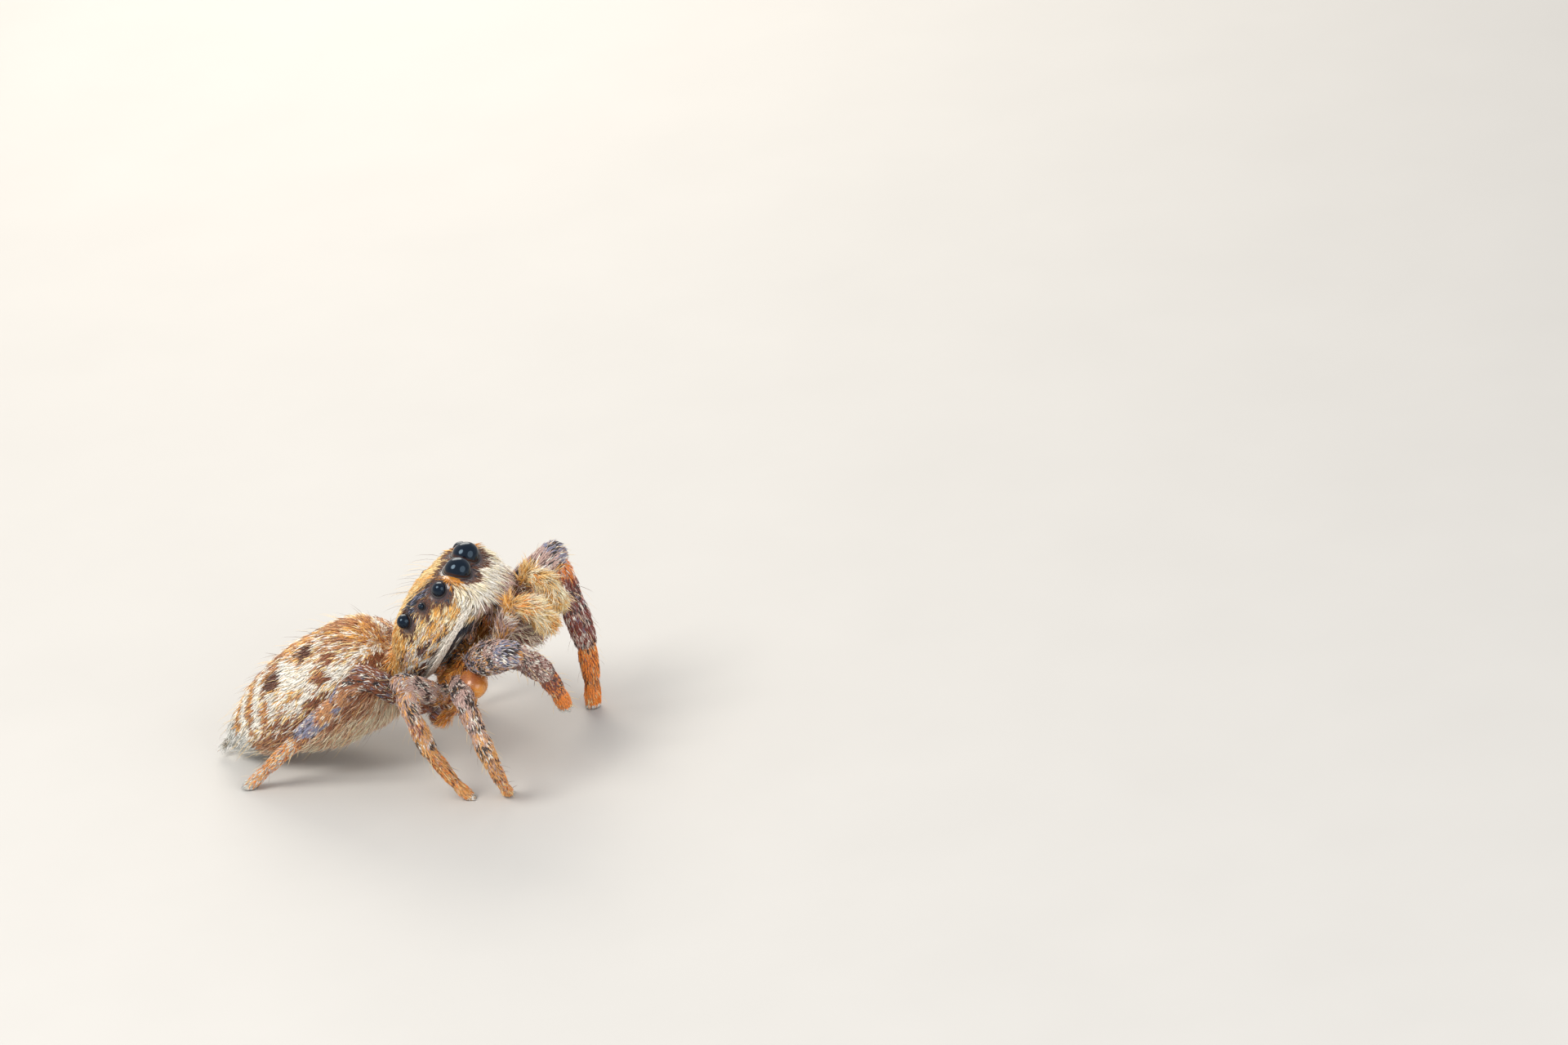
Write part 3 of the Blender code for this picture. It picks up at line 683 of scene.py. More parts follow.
def grain_group():
    """A fine bump for cuticle."""
    group = bpy.data.node_groups.get("Spider grain")
    if group:
        return group
    inputs = {"Grains per metre": 30000.0, "Strength": 0.3, "Height": 5e-6}
    group, entry, exit_ = new_group("Spider grain", inputs, ("Normal",))
    links = group.links
    noise = noise_on_object(group, entry, 4.0)
    bump = group.nodes.new("ShaderNodeBump")
    links.new(noise.outputs["Fac"], bump.inputs["Height"])
    links.new(entry.outputs["Strength"], bump.inputs["Strength"])
    links.new(entry.outputs["Height"], bump.inputs["Distance"])
    links.new(bump.outputs["Normal"], exit_.inputs["Normal"])
    return group


def fresh_material(name):
    material = bpy.data.materials.new(name)
    material.use_nodes = True
    tree = material.node_tree
    return material, tree.nodes, tree.links, tree.nodes["Principled BSDF"]


def group_node(nodes, group, **values):
    node = nodes.new("ShaderNodeGroup")
    node.node_tree = group
    for key, value in values.items():
        node.inputs[key.replace("_", " ")].default_value = value
    return node


def painted_material(name, roughness, spread, **sockets):
    """A finish that takes its colour from the markings, with grain in colour, gloss and surface."""
    material, nodes, links, shader = fresh_material(name)
    marks = nodes.new("ShaderNodeAttribute")
    marks.attribute_name = COLOUR
    tone = group_node(nodes, tone_group(), Grains_per_metre=24000.0, Depth=0.18)
    grain = group_node(nodes, grain_group(), Grains_per_metre=40000.0, Strength=0.25, Height=4e-6)
    gloss = nodes.new("ShaderNodeMapRange")
    gloss.inputs["To Min"].default_value = roughness - spread
    gloss.inputs["To Max"].default_value = roughness + spread
    links.new(marks.outputs["Color"], tone.inputs["Colour"])
    links.new(tone.outputs["Colour"], shader.inputs["Base Color"])
    links.new(tone.outputs["Mask"], gloss.inputs["Value"])
    links.new(gloss.outputs["Result"], shader.inputs["Roughness"])
    links.new(grain.outputs["Normal"], shader.inputs["Normal"])
    for key, value in sockets.items():
        shader.inputs[key.replace("_", " ")].default_value = value
    return material


def cuticle_material():
    found = bpy.data.materials.get("cuticle")
    return found or painted_material("cuticle", 0.26, 0.08, Subsurface_Weight=0.12, Subsurface_Scale=0.00012,
                                     Subsurface_Radius=(1.0, 0.45, 0.2), Coat_Weight=0.3)


def hair_material():
    found = bpy.data.materials.get("hair")
    return found or painted_material("hair", 0.48, 0.08, Sheen_Weight=0.2, Sheen_Roughness=0.4)


def lens_material():
    """Dark wet lens whose rim lets some amber light through."""
    found = bpy.data.materials.get("lens")
    if found:
        return found
    material, nodes, links, shader = fresh_material("lens")
    rim = nodes.new("ShaderNodeAttribute")
    rim.attribute_name = RIM
    colours = nodes.new("ShaderNodeValToRGB")
    stops = colours.color_ramp.elements
    stops[0].position, stops[0].color = 0.0, (0.002, 0.004, 0.010, 1)
    stops[1].position, stops[1].color = 1.0, (0.10, 0.035, 0.010, 1)
    middle = stops.new(0.80)
    middle.color = (0.004, 0.006, 0.012, 1)
    tone = group_node(nodes, tone_group(), Grains_per_metre=9000.0, Depth=0.2)
    links.new(rim.outputs["Fac"], colours.inputs["Fac"])
    links.new(colours.outputs["Color"], tone.inputs["Colour"])
    links.new(tone.outputs["Colour"], shader.inputs["Base Color"])
    shader.inputs["Roughness"].default_value = 0.11
    shader.inputs["IOR"].default_value = 1.45
    shader.inputs["Specular Tint"].default_value = (0.55, 0.78, 1.0, 1.0)
    return material


def horn_material(name, display, roughness):
    """Hard dark cuticle of claws and eye rims."""
    found = bpy.data.materials.get(name)
    if found:
        return found
    material, nodes, links, shader = fresh_material(name)
    tone = group_node(nodes, tone_group(), Grains_per_metre=12000.0, Depth=0.3,
                      Colour=(*(linear(channel) for channel in display), 1.0))
    grain = group_node(nodes, grain_group(), Grains_per_metre=30000.0, Strength=0.2, Height=3e-6)
    links.new(tone.outputs["Colour"], shader.inputs["Base Color"])
    links.new(grain.outputs["Normal"], shader.inputs["Normal"])
    shader.inputs["Roughness"].default_value = roughness
    return material


# Mesh tools


def deselect():
    for item in bpy.context.selected_objects:
        item.select_set(False)


def activate(*items):
    deselect()
    for item in items:
        item.select_set(True)
    bpy.context.view_layer.objects.active = items[0]


def new_object(name, data):
    """Links an object for some data and gives it back."""
    item = bpy.data.objects.new(name, data)
    bpy.context.scene.collection.objects.link(item)
    return item


def add_ball(centre, radius, segments, rings, **place):
    """A round ball at a place in millimetres, left selected and active."""
    deselect()
    bpy.ops.mesh.primitive_uv_sphere_add(segments=segments, ring_count=rings, radius=radius * MM,
                                         location=Vector(centre) * MM, **place)
    bpy.ops.object.transform_apply()
    return bpy.context.object


def face_outwards():
    """Turns the active piece's faces outwards and shades it smooth."""
    bpy.ops.object.mode_set(mode="EDIT")
    bpy.ops.mesh.select_all(action="SELECT")
    bpy.ops.mesh.normals_make_consistent(inside=False)
    bpy.ops.object.mode_set(mode="OBJECT")
    bpy.ops.object.shade_smooth()


def settle(item, material, slot, *replaced):
    """Gives a finished piece its material and its place among the parts."""
    item.data.materials.clear()
    item.data.materials.append(material)
    if replaced:
        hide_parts(*replaced)
    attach(item, "root")
    deselect()
    return item


def read_vectors(collection, name, width=3):
    values = np.empty(len(collection) * width, np.float32)
    collection.foreach_get(name, values)
    return values.reshape(-1, width).astype(float)


def write_points(mesh, points):
    """Moves a mesh's points to places in millimetres."""
    mesh.vertices.foreach_set("co", (points * MM).astype(np.float32).ravel())


def write_colour(mesh, colours):
    layer = mesh.color_attributes.new(name=COLOUR, type="FLOAT_COLOR", domain="POINT")
    rgba = np.ones((len(mesh.vertices), 4), np.float32)
    rgba[:, :3] = np.clip(colours, 0, 1)
    layer.data.foreach_set("color", rgba.ravel())


def neighbour_mean(values, edges, rounds):
    """Values at a mesh's points, evened out along its edges."""
    count = len(values)
    degree = 1 + np.bincount(edges.ravel(), minlength=count)
    for _ in range(rounds):
        total = values.copy()
        total += np.bincount(edges[:, 0], values[edges[:, 1]], count)
        total += np.bincount(edges[:, 1], values[edges[:, 0]], count)
        values = total / degree
    return values


# Skin

MERGE_DISTANCE = 1e-7
# How dark the skin is beside its hair, how deep it lies on the spinnerets and under a lens, and how much
# further than its swelling it is drawn back from a neighbour
SKIN_SHADE = 0.72
SPINNERET_DEPTH = 0.10
LENS_DEPTH = 0.06
DRAWN_BACK = 0.025
# Leg number, distance inwards from the thigh's root, and radius of each joint between coxa and thigh
TRUNKS = (
    (1, 0.04, 0.24),
    (2, 0.04, 0.24),
    (3, 0.10, 0.26),
    (4, 0.06, 0.25),
    (4, 0.26, 0.25),
    (4, 0.48, 0.24),
)
# The deeper of these joints head for the middle plane, at this y, and rise a little
MIDDLE_Y = -0.2
TRUNK_RISE = 0.12


def merged_copy(name):
    mesh = frame["nodes"][name].data.copy()
    builder = bmesh.new()
    builder.from_mesh(mesh)
    bmesh.ops.remove_doubles(builder, verts=builder.verts, dist=MERGE_DISTANCE)
    builder.to_mesh(mesh)
    builder.free()
    return new_object("flesh", mesh)


def nearest_nodes(points, names=FLESH):
    """Which named node's surface lies nearest to each point, and how far off it is."""
    vertices, faces, owners = [], [], []
    for index, name in enumerate(names):
        mesh = frame["nodes"][name].data
        base = len(vertices)
        vertices.extend(node_points(name).tolist())
        for polygon in mesh.polygons:
            faces.append([base + corner for corner in polygon.vertices])
            owners.append(index)
    tree = BVHTree.FromPolygons(vertices, faces)
    found = [tree.find_nearest(point) for point in points.tolist()]
    return np.array([owners[hit[2]] for hit in found]), np.array([hit[3] for hit in found])


def draw_back(item, neighbours, settings):
    """Draws a copied solid back where a neighbour lies against it, so that the remesh can't weld them."""
    activate(item)
    bpy.ops.object.mode_set(mode="EDIT")
    bpy.ops.mesh.select_all(action="SELECT")
    bpy.ops.mesh.subdivide(number_cuts=2)
    bpy.ops.object.mode_set(mode="OBJECT")
    points = read_vectors(item.data.vertices, "co") / MM
    gaps = nearest_nodes(points, neighbours)[1]
    back = (settings.grow / MM + DRAWN_BACK) * (1 - ramp(gaps, 0.09, 0.20))
    points -= read_vectors(item.data.vertices, "normal") * back[:, None]
    write_points(item.data, points)


def eye_gaps(points, names=EYE_NODES):
    """Distance from each point to the nearest of the named lenses."""
    eyes = [EYES[name] for name in names]
    return np.min([np.linalg.norm(points - centre, axis=1) - radius for centre, radius in eyes], axis=0)


def skin_depths(points, nodes, settings):
    """How deep the skin lies under the solids' surface: by node, less beside a lens, and more under it and
    round the big front pair."""
    depths = np.full(len(nodes), settings.leg_depth / MM)
    for index, name in enumerate(FLESH):
        if name.startswith("leg_1"):
            depths[nodes == index] = 0.0
        elif name in ("abdomen", "carapace"):
            depths[nodes == index] = settings.body_depth / MM
        elif name.startswith("palp"):
            depths[nodes == index] = settings.palp_depth / MM
        elif name == "spinnerets":
            depths[nodes == index] = SPINNERET_DEPTH
    gaps = eye_gaps(points)
    hollow = settings.eye_hollow / MM * (1 - ramp(eye_gaps(points, EYE_NODES[:2]), 0.05, 0.30))
    return depths * ramp(gaps, 0.02, 0.35) + LENS_DEPTH * (1 - ramp(gaps, 0.035, 0.075)) + hollow


class SPIDER_OT_skin(bpy.types.Operator):
    """Joins the flesh into one skin that lies inside the solids by the depth of the coat"""
    bl_idname = "spider.skin"
    bl_label = "Skin"

    def execute(self, context):
        settings = context.scene.spider_skin
        skin = self.join_flesh(settings)
        self.close_seams(skin, settings)
        self.drop_crumbs(skin)
        self.sink(skin.data, settings)
        settle(skin, cuticle_material(), "leg", *FLESH)
        return {"FINISHED"}

    def join_flesh(self, settings):
        """Copies of the solids and the short joints in one object. The abdomen and the leg that lies
        against it are drawn back from each other."""
        pieces = [merged_copy(name) for name in FLESH + EYE_NODES]
        pieces += [self.trunk(*place, side) for place in TRUNKS for side in SIDES]
        beside = [f"leg_4_right_{part}" for part in LEG_PARTS]
        for item, name in zip(pieces, FLESH):
            if name == "abdomen":
                draw_back(item, beside, settings)
            elif name in beside:
                draw_back(item, ["abdomen"], settings)
        activate(*pieces)
        bpy.ops.object.join()
        skin = bpy.context.object
        skin.name = skin.data.name = SKIN
        return skin

    def close_seams(self, skin, settings):
        """Swells the pieces until they meet, and remeshes them as one. From here on a millimetre is one
        unit, because the remesh has no grid this fine in metres."""
        skin.scale = (1 / MM,) * 3
        bpy.ops.object.transform_apply(location=False, rotation=False, scale=True)
        swell = skin.modifiers.new("swell", "DISPLACE")
        swell.mid_level = 0.0
        swell.strength = settings.grow / MM
        remesh = skin.modifiers.new("remesh", "REMESH")
        remesh.mode = "VOXEL"
        remesh.voxel_size = settings.voxel / MM
        ease = skin.modifiers.new("ease", "SMOOTH")
        ease.factor = 0.5
        ease.iterations = 4
        for name in ("swell", "remesh", "ease"):
            bpy.ops.object.modifier_apply(modifier=name)

    def sink(self, mesh, settings):
        """Moves the skin in by its swelling and the depth of the coat, gives each point its node and its
        colour, and turns millimetres back into metres."""
        points = read_vectors(mesh.vertices, "co")
        normals = read_vectors(mesh.vertices, "normal")
        edges = read_vectors(mesh.edges, "vertices", 2).astype(int)
        nodes = nearest_nodes(points)[0]
        depth = neighbour_mean(skin_depths(points, nodes, settings), edges, 6)
        points -= normals * (settings.grow / MM + depth)[:, None]
        write_points(mesh, points)
        mesh.attributes.new(NODE_INDEX, "INT", "POINT").data.foreach_set("value", nodes.astype(np.int32))
        write_colour(mesh, SKIN_SHADE * body_colours(points, nodes))
        mesh.shade_smooth()
        mesh.update()

    def trunk(self, number, inset, radius, side):
        """The short joint that carries a thigh, between it and its coxa."""
        guide = GUIDES[f"leg_{number}_{side}_femur"]
        inward = unit(guide.root - guide.tip)
        if inset > radius:
            inward = unit(np.array([0.0, MIDDLE_Y - guide.root[1], TRUNK_RISE]))
        return add_ball(guide.root + inset * inward, radius, 24, 16)

    def drop_crumbs(self, skin):
        """Deletes the closed bubbles that the remesh leaves inside."""
        activate(skin)
        bpy.ops.object.mode_set(mode="EDIT")
        bpy.ops.mesh.select_all(action="DESELECT")
        bpy.ops.object.mode_set(mode="OBJECT")
        skin.data.vertices[0].select = True
        bpy.ops.object.mode_set(mode="EDIT")
        bpy.ops.mesh.select_linked()
        bpy.ops.mesh.select_all(action="INVERT")
        bpy.ops.mesh.delete(type="VERT")
        bpy.ops.object.mode_set(mode="OBJECT")


class Surface:
    """The finished skin as arrays, in millimetres, for growing things on."""

    DRAWS = 4
    CELL_STRIDES = (4000037, 2003, 1)

    def __init__(self):
        mesh = bpy.data.objects[SKIN].data
        self.points = read_vectors(mesh.vertices, "co") / MM
        self.normals = read_vectors(mesh.vertices, "normal")
        mesh.calc_loop_triangles()
        self.triangles = read_vectors(mesh.loop_triangles, "vertices", 3).astype(int)
        nodes = np.empty(len(mesh.vertices), np.int32)
        mesh.attributes[NODE_INDEX].data.foreach_get("value", nodes)
        self.nodes = nodes
        corners = self.points[self.triangles]
        cross = np.cross(corners[:, 1] - corners[:, 0], corners[:, 2] - corners[:, 0])
        self.areas = np.linalg.norm(cross, axis=1) / 2

    def scatter(self, names, spacing, seed):
        """Seeded places spread evenly over the named nodes: points, normals and node indices. Of some
        random places to each cell of a grid, one is kept."""
        random = np.random.default_rng(seed)
        wanted = np.isin(self.nodes[self.triangles[:, 0]], [FLESH.index(name) for name in names])
        chosen = self.triangles[wanted]
        areas = self.areas[wanted]
        count = int(self.DRAWS * areas.sum() / spacing**2)
        picked = chosen[random.choice(len(chosen), count, p=areas / areas.sum())]
        first, second = random.random((2, count))
        fold = first + second > 1
        first[fold], second[fold] = 1 - first[fold], 1 - second[fold]
        weights = np.stack([1 - first - second, first, second], axis=1)[:, :, None]
        points = (self.points[picked] * weights).sum(axis=1)
        normals = unit((self.normals[picked] * weights).sum(axis=1))
        cells = np.floor(points / spacing).astype(np.int64)
        keys = cells @ np.array(self.CELL_STRIDES)
        kept = np.unique(keys, return_index=True)[1]
        return points[kept], normals[kept], self.nodes[picked[kept, 0]]


# Coat

# How strongly the coat at a joint turns towards the next piece of the limb
JOINT_TURN = 1.3
# Height of the line in the carapace that its map is wound round
MAP_LEVEL = 0.6
# How strongly hair turns away from a lens, how far from it, and how directly hair must head for a lens
# for its length to be cut
EYE_PUSH = 2.0
EYE_REACH = 0.07
HEADING = 0.2


def lay_flat(directions, normals):
    """Directions turned down onto the surface."""
    return unit(directions - (directions * normals).sum(axis=1)[:, None] * normals)


def lie_on_carapace(local, normal):
    """Backwards and outwards on top, down on the face, and level along the stripe."""
    aim = np.zeros_like(local)
    front = ramp(normal[:, 0], 0.70, 0.95)
    aim[:, 0] = -1.0
    aim[:, 1] = 0.25 * np.sign(local[:, 1]) * ramp(np.abs(local[:, 1]), 0.1, 0.6)
    aim[:, 2] = -0.30 * ramp(np.abs(normal[:, 1]), 0.3, 0.8) - 0.35 * ramp(local[:, 0], 2.1, 2.6)
    aim += front[:, None] * np.array([0.6, 0.0, -1.3])
    beside = 1 - ramp(np.abs(local[:, 2] - stripe_level(local)), 0.12, 0.3)
    aim[:, 2] = aim[:, 2] * (1 - beside * (1 - front)) - 0.1 * beside * (1 - front)
    return HEAD.world_direction(aim)


def over_joints(name, along):
    """What turns a limb's coat towards the next piece at its end, and away from the last one at its root."""
    bend = np.zeros((len(along), 3))
    parts = PALP_PARTS if name.startswith("palp") else LEG_PARTS
    for part, following in zip(parts, parts[1:]):
        if name.endswith("_" + part):
            after = GUIDES[name[:-len(part)] + following]
            bend += JOINT_TURN * ramp(along, 0.72, 1.0)[:, None] * unit(after.tip - after.root)
        if name.endswith("_" + following):
            before = GUIDES[name[:-len(following)] + part]
            bend += JOINT_TURN * (1 - ramp(along, 0.0, 0.22))[:, None] * unit(before.tip - before.root)
    return bend


def along_the_lie(points, normals, nodes):
    """Which way the coat lies at each place, how freely it flows there (0 on the end of a limb), and its
    place on the unwrap of that node."""
    lies = np.zeros_like(points)
    unwrap = np.zeros((len(points), 2))
    for index in np.unique(nodes):
        here = nodes == index
        name = FLESH[index]
        places, facing = points[here], normals[here]
        if name == "carapace":
            local = HEAD.local(places)
            lies[here] = lie_on_carapace(local, HEAD.local_direction(facing))
            around = np.arctan2(local[:, 1], local[:, 2] - MAP_LEVEL)
            unwrap[here] = np.stack([around / FULL_TURN + 0.5, local[:, 0] / CARAPACE_LENGTH], axis=1)
        elif name in GUIDES:
            along, around, direction = GUIDES[name].locate(places)
            lies[here] = direction + over_joints(name, along)
            unwrap[here] = np.stack([around / FULL_TURN + 0.5, along], axis=1)
            if name == "abdomen":
                lies[here] += 0.32 * np.abs(np.sin(around))[:, None] * (0.0, 0.0, -1.0)
        else:
            lies[here] = unit(places - places.mean(axis=0)) * (1.0, 1.0, 0.3) + (0.0, 0.0, -0.2)
            local = HEAD.local(places)
            unwrap[here] = local[:, :2] / CARAPACE_LENGTH + (0.0, 0.5)
    flow = np.linalg.norm(np.cross(unit(lies), normals), axis=1)
    return lay_flat(lies, normals), flow, np.clip(unwrap, 0, 1)


def clear_of_eyes(points, lies, normals, margin):
    """Turns the hair outwards round the lenses. Also gives the distance to the nearest lens and the
    length that a hair may have before it would reach over one."""
    nearest = np.full(len(points), np.inf)
    room = np.full(len(points), np.inf)
    for centre, radius in EYES.values():
        away = points - centre
        gap = np.linalg.norm(away, axis=1) - radius
        nearest = np.minimum(nearest, gap)
        push = np.exp(-np.maximum(gap - margin, 0) / EYE_REACH)[:, None]
        lies = lies + EYE_PUSH * push * unit(away)
    lies = lay_flat(lies, normals)
    for centre, radius in EYES.values():
        away = points - centre
        gap = np.linalg.norm(away, axis=1) - radius
        toward = -(lies * unit(away)).sum(axis=1)
        cut = np.minimum(room, gap / np.maximum(toward, HEADING))
        room = np.where(toward > HEADING, cut, room)
    return nearest, room, lies


class Tufts:
    """A batch of tufts, one row each, on its way to becoming a mesh."""

    def __init__(self, points, normals, nodes, seed, margin=0.035):
        self.random = np.random.default_rng(seed)
        lies, self.flow, self.unwrap = along_the_lie(points, normals, nodes)
        self.eye_gap, self.eye_room, lies = clear_of_eyes(points, lies, normals, margin)
        self.points, self.normals, self.nodes, self.lies = points, normals, nodes, lies
        self.pick(self.eye_gap > margin)
        self.sweep = self.vary(0.0, 0.10)
        self.turn_lies(self.vary(0.0, 0.16))
        self.bend = np.full(len(self), 1.1)

    def __len__(self):
        return len(self.points)

    def vary(self, middle, spread):
        return middle + spread * self.random.standard_normal(len(self))

    def pick(self, keep):
        for key, value in list(vars(self).items()):
            if isinstance(value, np.ndarray) and len(value) == len(keep):
                setattr(self, key, value[keep])

    def thin(self, density):
        """Keeps a share of the tufts, by chance."""
        self.pick(self.random.random(len(self)) < density)

    def turn_lies(self, angles):
        across = np.cross(self.lies, self.normals)
        self.lies = unit(self.lies + across * np.tan(angles)[:, None])

    def shape(self, length, width, lift):
        """Lengths and widths in millimetres and lift in degrees, each varied a little."""
        near = ramp(self.eye_gap, 0.03, 0.20)
        self.length = length * np.clip(self.vary(1.0, 0.18), 0.55, 1.6) * (0.4 + 0.6 * near)
        self.length *= 0.4 + 0.6 * ramp(self.flow, 0.35, 0.75)
        self.width = width * np.clip(self.vary(1.0, 0.15), 0.6, 1.5)
        self.lift = np.radians(np.clip((lift + self.vary(0.0, 5.0)) * (0.4 + 0.6 * near), 2.0, 85.0))
        flat = self.lift * 0.45
        drop = self.lies[:, 2] * np.cos(flat) + self.normals[:, 2] * np.sin(flat)
        self.length = np.minimum(self.length, self.eye_room)
        room = np.maximum(self.points[:, 2] - FLOOR_GAP, 0.02)
        self.length = np.where(drop < 0, np.minimum(self.length, room / np.maximum(-drop, 1e-6)), self.length)

    def paint(self):
        self.colour = body_colours(self.points, self.nodes, self.random.random(len(self)))
        self.colour *= np.clip(self.vary(1.0, 0.10), 0.75, 1.25)[:, None]


# A tuft by its number of rings: each ring's share of the length, with the point's, each ring's width, and
# their painted shade, darker at the root where the coat shades it, a little lighter at the point, and warmer
# at the root by the powers of the warmth below
TUFT_FORMS = {
    3: ((0.0, 0.4, 0.75, 1.0), (0.6, 1.0, 0.62), (0.62, 0.92, 1.0, 1.06)),
    2: ((0.0, 0.5, 1.0), (0.65, 1.0), (0.66, 0.98, 1.05)),
}
ROOT_SHADE_WARMTH = np.array((0.75, 1.05, 1.4))
THICKNESS = 0.34
SUNK = 0.02
PATCH = 0.003
# The lowest that hair reaches, and how softly what would reach lower is pressed flat
FLOOR_GAP = 0.012
FLOOR_EASE = 0.1


def tuft_faces(rings):
    """Corners of one tuft: a root cap, rings of three corners and a point."""
    faces = [(1, 0, 2)]
    for ring in range(rings - 1):
        low, high = 3 * ring, 3 * ring + 3
        for first, second in ((1, 2), (2, 0), (0, 1)):
            faces.append((low + first, low + second, high + second, high + first))
    last, tip = 3 * (rings - 1), 3 * rings
    for first, second in ((1, 2), (2, 0), (0, 1)):
        faces.append((last + first, last + second, tip))
    return faces


def tuft_corners(tufts, rings):
    """Corners of solid tapering blades, a row for each tuft: its rings and then its point."""
    shares, widths = (np.array(values) for values in TUFT_FORMS[rings][:2])
    across = np.cross(tufts.lies, tufts.normals)
    angle = tufts.lift[:, None] * (1 - tufts.bend[:, None] * shares / 2)
    travel = tufts.length[:, None] * shares
    centre = tufts.points[:, None] + tufts.lies[:, None] * (travel * np.cos(angle))[:, :, None]
    centre += tufts.normals[:, None] * (travel * np.sin(angle) - SUNK * (1 - shares) ** 2)[:, :, None]
    centre += across[:, None] * (tufts.sweep[:, None] * travel * shares)[:, :, None]
    half = across[:, None] * (tufts.width[:, None] * widths / 2)[:, :, None]
    ridge = tufts.normals[:, None] * (tufts.width[:, None] * widths * THICKNESS)[:, :, None]
    body = centre[:, :rings]
    corners = np.stack([body + half, body - half, body + ridge], axis=2).reshape(len(tufts), rings * 3, 3)
    corners = np.concatenate([corners, centre[:, rings:]], axis=1)
    low = corners[:, :, 2] < FLOOR_GAP
    corners[:, :, 2][low] = FLOOR_GAP * np.exp((corners[:, :, 2][low] - FLOOR_GAP) / FLOOR_EASE)
    return corners


def grow_mesh(name, tufts, rings=3):
    """One mesh of tufts, each a closed body with its patch on the bake map."""
    corners = tuft_corners(tufts, rings)
    count, per_tuft = corners.shape[:2]
    faces = tuft_faces(rings)
    pattern = np.concatenate([np.array(face) for face in faces])
    starts = np.concatenate([[0], np.cumsum([len(face) for face in faces])])[:-1]
    loops = (np.arange(count)[:, None] * per_tuft + pattern).ravel()
    loop_starts = (np.arange(count)[:, None] * len(pattern) + starts).ravel()
    mesh = bpy.data.meshes.new(name)
    mesh.vertices.add(count * per_tuft)
    write_points(mesh, corners)
    mesh.loops.add(len(loops))
    mesh.loops.foreach_set("vertex_index", loops.astype(np.int32))
    mesh.polygons.add(len(loop_starts))
    mesh.polygons.foreach_set("loop_start", loop_starts.astype(np.int32))
    mesh.update(calc_edges=True)
    mesh.shade_smooth()

    # Painted shade along each tuft: darker and warmer at the root, a little lighter at the point
    shares, _, shades = (np.array(values) for values in TUFT_FORMS[rings])
    painted_tuft_shade = np.append(np.repeat(shades[:rings], 3), shades[rings])
    write_colour(mesh, (tufts.colour[:, None] * painted_tuft_shade[:, None] ** ROOT_SHADE_WARMTH).reshape(-1, 3))
    offsets = np.concatenate([[(-0.5, y), (0.5, y), (0.0, y)] for y in shares[:rings] - 0.5] + [[(0.0, 0.5)]])
    homes = PATCH + tufts.unwrap * (1 - 2 * PATCH)
    spots = (homes[:, None] + PATCH * offsets).reshape(-1, 2)
    layer = mesh.uv_layers.new(name="OFBake")
    layer.data.foreach_set("uv", spots[loops].astype(np.float32).ravel())
    return new_object(name, mesh)


# Spacings and sizes of the small coat pieces, the way the tail's brush hangs, how far bristles keep from a
# lens, and the seed that each piece's draws start from
STRIPE_SPACING = 0.026
STRIPE_HALF_WIDTH = 0.05
STRIPE_RISE = 0.055
TAIL_SPACING = 0.026
TAIL_DROOP = np.array((0.0, -0.10, -0.25))
UNDER_SPACING = 0.048
JAW_SPACING = 0.036
FOOT_SPACING = 0.022
FOOT_LENGTH = 0.15
FOOT_WIDTH = 0.016
BRISTLE_MARGIN = 0.14
SEEDS = {"abdomen": 101, "carapace": 111, "stripe": 121, "legs": 200, "palps": 400, "underside": 500,
         "jaws": 502, "tail": 504, "feet": 520, "bristles": 540}


def halves(grown, middle, seed):
    """The tufts of places grown on a body, one side at a time, each with its own seed."""
    for side, sign, step in (("left", 1, 1), ("right", -1, 2)):
        half = (grown[0][:, 1] - middle) * sign > 0
        yield side, Tufts(*(values[half] for values in grown), seed + step)


def one_colour(tufts, colour, spread, low, high):
    """Paints tufts in one colour, some darker or lighter."""
    tufts.colour = np.array(colour) * np.clip(tufts.vary(1.0, spread), low, high)[:, None]


def plant(name, tufts, slot, names=(), rings=3):
    """Makes a coat piece of finished tufts, with its nodes side by side on its map."""
    for place, node in enumerate(names):
        here = tufts.nodes == FLESH.index(node)
        tufts.unwrap[here, 0] = (tufts.unwrap[here, 0] + place) / len(names)
    settle(grow_mesh(name, tufts, rings), hair_material(), slot)


class SPIDER_OT_abdomen_coat(bpy.types.Operator):
    """Grows the streaked scales of the abdomen, longer and looser underneath"""
    bl_idname = "spider.abdomen_coat"
    bl_label = "Abdomen coat"

    def execute(self, context):
        coat = context.scene.spider_coat
        seed = SEEDS["abdomen"]
        grown = Surface().scatter(["abdomen"], coat.back_spacing / MM, seed)
        for side, tufts in halves(grown, REAR.origin[1], seed):
            local = REAR.local(tufts.points)
            turn = np.degrees(np.abs(np.arctan2(local[:, 1], local[:, 2])))
            low = ramp(turn, 95, 130)
            end = ramp(0.45 - local[:, 0], 0.0, 0.4)
            tufts.shape(coat.back_length / MM * (1 + 0.35 * low + 0.2 * end),
                        coat.back_width / MM * (1 - 0.3 * low), 11 + 13 * low + 24 * end)
            tufts.paint()
            plant(f"abdomen_scales_{side}", tufts, "abdomen")
        return {"FINISHED"}


